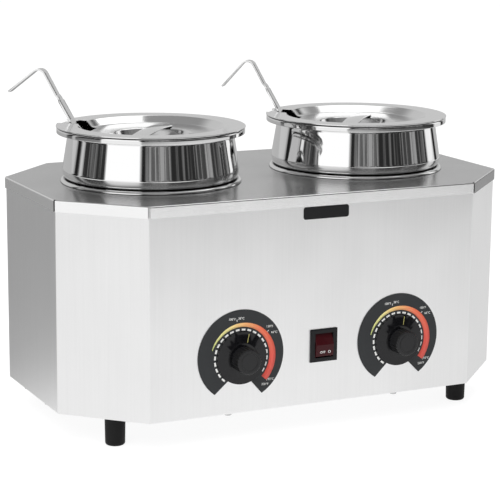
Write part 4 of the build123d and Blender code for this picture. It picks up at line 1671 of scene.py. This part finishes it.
class Studio:
    """Floor, surrounding light, lamps and camera.

    The room and the floor that the steel mirrors are grey tones by azimuth, in degrees from the
    front and positive to the right.
    """

    CAMERA_PLACE = (-0.7946, -1.6400, 0.5317)
    YAW, PITCH, ROLL = math.radians(25.72), math.radians(11.68), 0.0088
    LENS, SENSOR = 131.54, 36.0
    CLIP = (0.05, 60.0)
    FLOOR_EDGE = 12000.0
    ROOM_TONES: Tones = (
        (-180, 0.5), (-150, 0.5), (-143, 0.47), (-139, 0.01), (-130, 0.01), (-128, 0.5),
        (-124, 0.5), (-122, 0.025), (-85, 0.025), (-83, 0.97), (-38, 0.97), (-35, 0.008),
        (-30, 0.01), (-27, 0.05), (-22, 0.09), (-12, 0.09), (-2, 0.12), (4, 0.02), (35, 0.018),
        (45, 0.05), (62, 0.05), (70, 0.025), (86, 0.02), (90, 0.8), (105, 0.85), (109, 0.01),
        (114, 0.01), (118, 0.5), (180, 0.5),
    )
    FLOOR_TONES: Tones = (
        (-180, 0.29), (-154, 0.33), (-130, 0.40), (-90, 0.92), (-64, 0.97), (-20, 1.0),
        (15, 0.98), (26, 0.97), (38, 0.90), (70, 0.84), (116, 0.83), (150, 0.50), (180, 0.29),
    )
    SWEEP = (1.8, 2.3)
    FLOOR_COLOUR, FLOOR_GLOW = (0.82, 0.22), (0.25, 0.88)
    STREAK_WIDE, STREAK_TALL = 85.0, 5.0
    STREAK_LOW, STREAK_HIGH = (0.46, 1.0), (0.68, 9.0)
    STREAK_CAP, ROOM_GAIN = 0.3, 1.2
    PALE_FROM = math.sin(math.radians(30)), math.sin(math.radians(48))
    PALE_TONE, BACKDROP = (0.85, 0.3), 1.05
    LAMPS = (
        Lamp("lamp_key", (-1.3, -1.4, 1.7), (0.0, 0.0, 0.1), 1.2, 20.0),
        Lamp("lamp_top", (0.2, 0.1, 1.9), (0.0, 0.0, 0.1), 1.6, 18.0),
        Lamp("lamp_card", (0.22, 0.08, 0.856), (0.22, 0.08, 0.0), 0.56, 1.1, True),
    )

    def build(self) -> None:
        """Build the studio."""
        self._world()
        self._floor()
        for lamp in self.LAMPS:
            lamp.build()
        self._camera()
        bpy.context.scene.view_settings.view_transform = "Standard"

    def _camera(self) -> None:
        """Camera at the photo's place."""
        data = bpy.data.cameras.new("camera")
        data.lens, data.sensor_width = self.LENS, self.SENSOR
        data.clip_start, data.clip_end = self.CLIP
        obj = bpy.data.objects.new("camera", data)
        bpy.context.scene.collection.objects.link(obj)
        yaw, pitch, roll = self.YAW, self.PITCH, self.ROLL
        flat = math.cos(pitch)
        ahead = Vector((math.sin(yaw) * flat, math.cos(yaw) * flat, -math.sin(pitch)))
        level = Vector((math.cos(yaw), -math.sin(yaw), 0))
        upright = level.cross(ahead)
        right = level * math.cos(roll) + upright * math.sin(roll)
        up = upright * math.cos(roll) - level * math.sin(roll)
        turn = Matrix((right, up, -ahead)).transposed().to_4x4()
        obj.matrix_world = Matrix.Translation(self.CAMERA_PLACE) @ turn
        bpy.context.scene.camera = obj

    def _floor(self) -> None:
        """Pale floor that looks white to the camera and keeps a soft shadow."""
        material = bpy.data.materials.new("studio_floor")
        material.use_nodes = True
        graph = Graph(material.node_tree)
        path = graph.add("LightPath").outputs
        tone, glow = (
            self._switch(graph, path["Is Camera Ray"], pair)
            for pair in (self.FLOOR_COLOUR, self.FLOOR_GLOW)
        )
        grey = graph.add("CombineColor", {"Red": tone, "Green": tone, "Blue": tone})
        matt = graph.add("BsdfDiffuse", {"Color": grey.outputs["Color"]}).outputs["BSDF"]
        lit = graph.add("Emission", {"Strength": glow}).outputs["Emission"]
        both = graph.add("AddShader", {0: matt, 1: lit}).outputs["Shader"]
        place = graph.add("TexCoord").outputs["Object"]
        angle, _ = self._azimuth(graph, place)
        away = graph.add("VectorMath", {0: place}, operation="LENGTH").outputs["Value"]
        low, high = self.SWEEP
        end = graph.spread(away, (low, 0.0), (high, 1.0), interpolation_type="SMOOTHSTEP")
        near, far = (self._tones(graph, angle, t) for t in (self.FLOOR_TONES, self.ROOM_TONES))
        sweep = graph.pick(end, near, far)
        mirrored = graph.add("Emission", {"Color": sweep}).outputs["Emission"]
        choice = graph.add("MixShader", {"Fac": path["Is Glossy Ray"], 1: both, 2: mirrored})
        graph.add("OutputMaterial", {"Surface": choice.outputs["Shader"]})
        shape = Shape()
        bmesh.ops.create_grid(shape.bm, x_segments=1, y_segments=1, size=self.FLOOR_EDGE)
        obj = shape.piece("studio_floor")
        obj.data.materials.append(material)

    def _world(self) -> None:
        """Surrounding light: dark room in front with a tall soft box, pale above and behind."""
        world = bpy.data.worlds.new("studio")
        bpy.context.scene.world = world
        world.use_nodes = True
        graph = Graph(world.node_tree)
        angle, height = self._azimuth(graph, graph.add("TexCoord").outputs["Generated"])
        room = self._tones(graph, angle, self.ROOM_TONES)
        lit = graph.maths("MULTIPLY", room, self._streaks(graph, angle, height))
        cap = graph.maths("MAXIMUM", room, self.STREAK_CAP)
        bright = graph.maths("MULTIPLY", graph.maths("MINIMUM", lit, cap), self.ROOM_GAIN)
        low, high = self.PALE_FROM
        rise = graph.spread(height, (low, 0.0), (high, 1.0), interpolation_type="SMOOTHSTEP")
        seen = graph.add("LightPath").outputs
        pale = self._switch(graph, seen["Is Glossy Ray"], self.PALE_TONE)
        tone = graph.add("Mix", {"Factor": rise, "A": bright, "B": pale}).outputs["Result"]
        ends = {"Factor": seen["Is Camera Ray"], "A": tone, "B": self.BACKDROP}
        white = graph.add("Mix", ends).outputs["Result"]
        back = graph.add("Background", {"Color": white}).outputs["Background"]
        graph.add("OutputWorld", {"Surface": back})

    @staticmethod
    def _switch(graph: Graph, flag: Socket, pair: Point) -> Socket:
        """Pick one of two numbers, without or with a light path flag."""
        return graph.spread(flag, (0.0, pair[0]), (1.0, pair[1]))

    @staticmethod
    def _azimuth(graph: Graph, way: Socket) -> tuple[Socket, Socket]:
        """Azimuth from the front as a share of the full turn, and the height.

        Args:
            graph: The nodes.
            way: Direction from the origin.

        Returns:
            The share and the height.
        """
        split = graph.add("SeparateXYZ", {"Vector": way}).outputs
        angle = graph.maths("ARCTAN2", split["X"], graph.maths("MULTIPLY", split["Y"], -1.0))
        return graph.spread(angle, (-math.pi, 0.0), (math.pi, 1.0)), split["Z"]

    def _streaks(self, graph: Graph, angle: Socket, height: Socket) -> Socket:
        """Brightness of the room, with upright streaks of light and shade in it.

        Args:
            graph: The nodes.
            angle: Azimuth as a share of the turn.
            height: Height on the room's wall.

        Returns:
            The brightness.
        """
        wide = graph.maths("MULTIPLY", angle, self.STREAK_WIDE)
        tall = graph.maths("MULTIPLY", height, self.STREAK_TALL)
        spot = graph.add("CombineXYZ", {"X": wide, "Y": tall}).outputs["Vector"]
        look = {"Vector": spot, "Scale": 1.0, "Detail": 4.0, "Roughness": 0.62}
        noise = graph.add("TexNoise", look).outputs["Fac"]
        return graph.spread(noise, self.STREAK_LOW, self.STREAK_HIGH)

    @staticmethod
    def _tones(graph: Graph, angle: Socket, tones: Tones) -> Socket:
        """Grey by azimuth."""
        return graph.ramp(angle, tuple(((a + 180) / 360, (t, t, t)) for a, t in tones))


def main() -> None:
    """Build the warmer and its studio."""
    logging.basicConfig(level=logging.INFO, format="%(name)s: %(message)s")
    finishes = Finishes()
    Casing(finishes).build()
    for side in Side:
        Vessels(side, finishes).build()
        Knob(side, finishes).build()
        Dial(side, finishes).build()
    Studio().build()


if __name__ == "__main__":
    main()
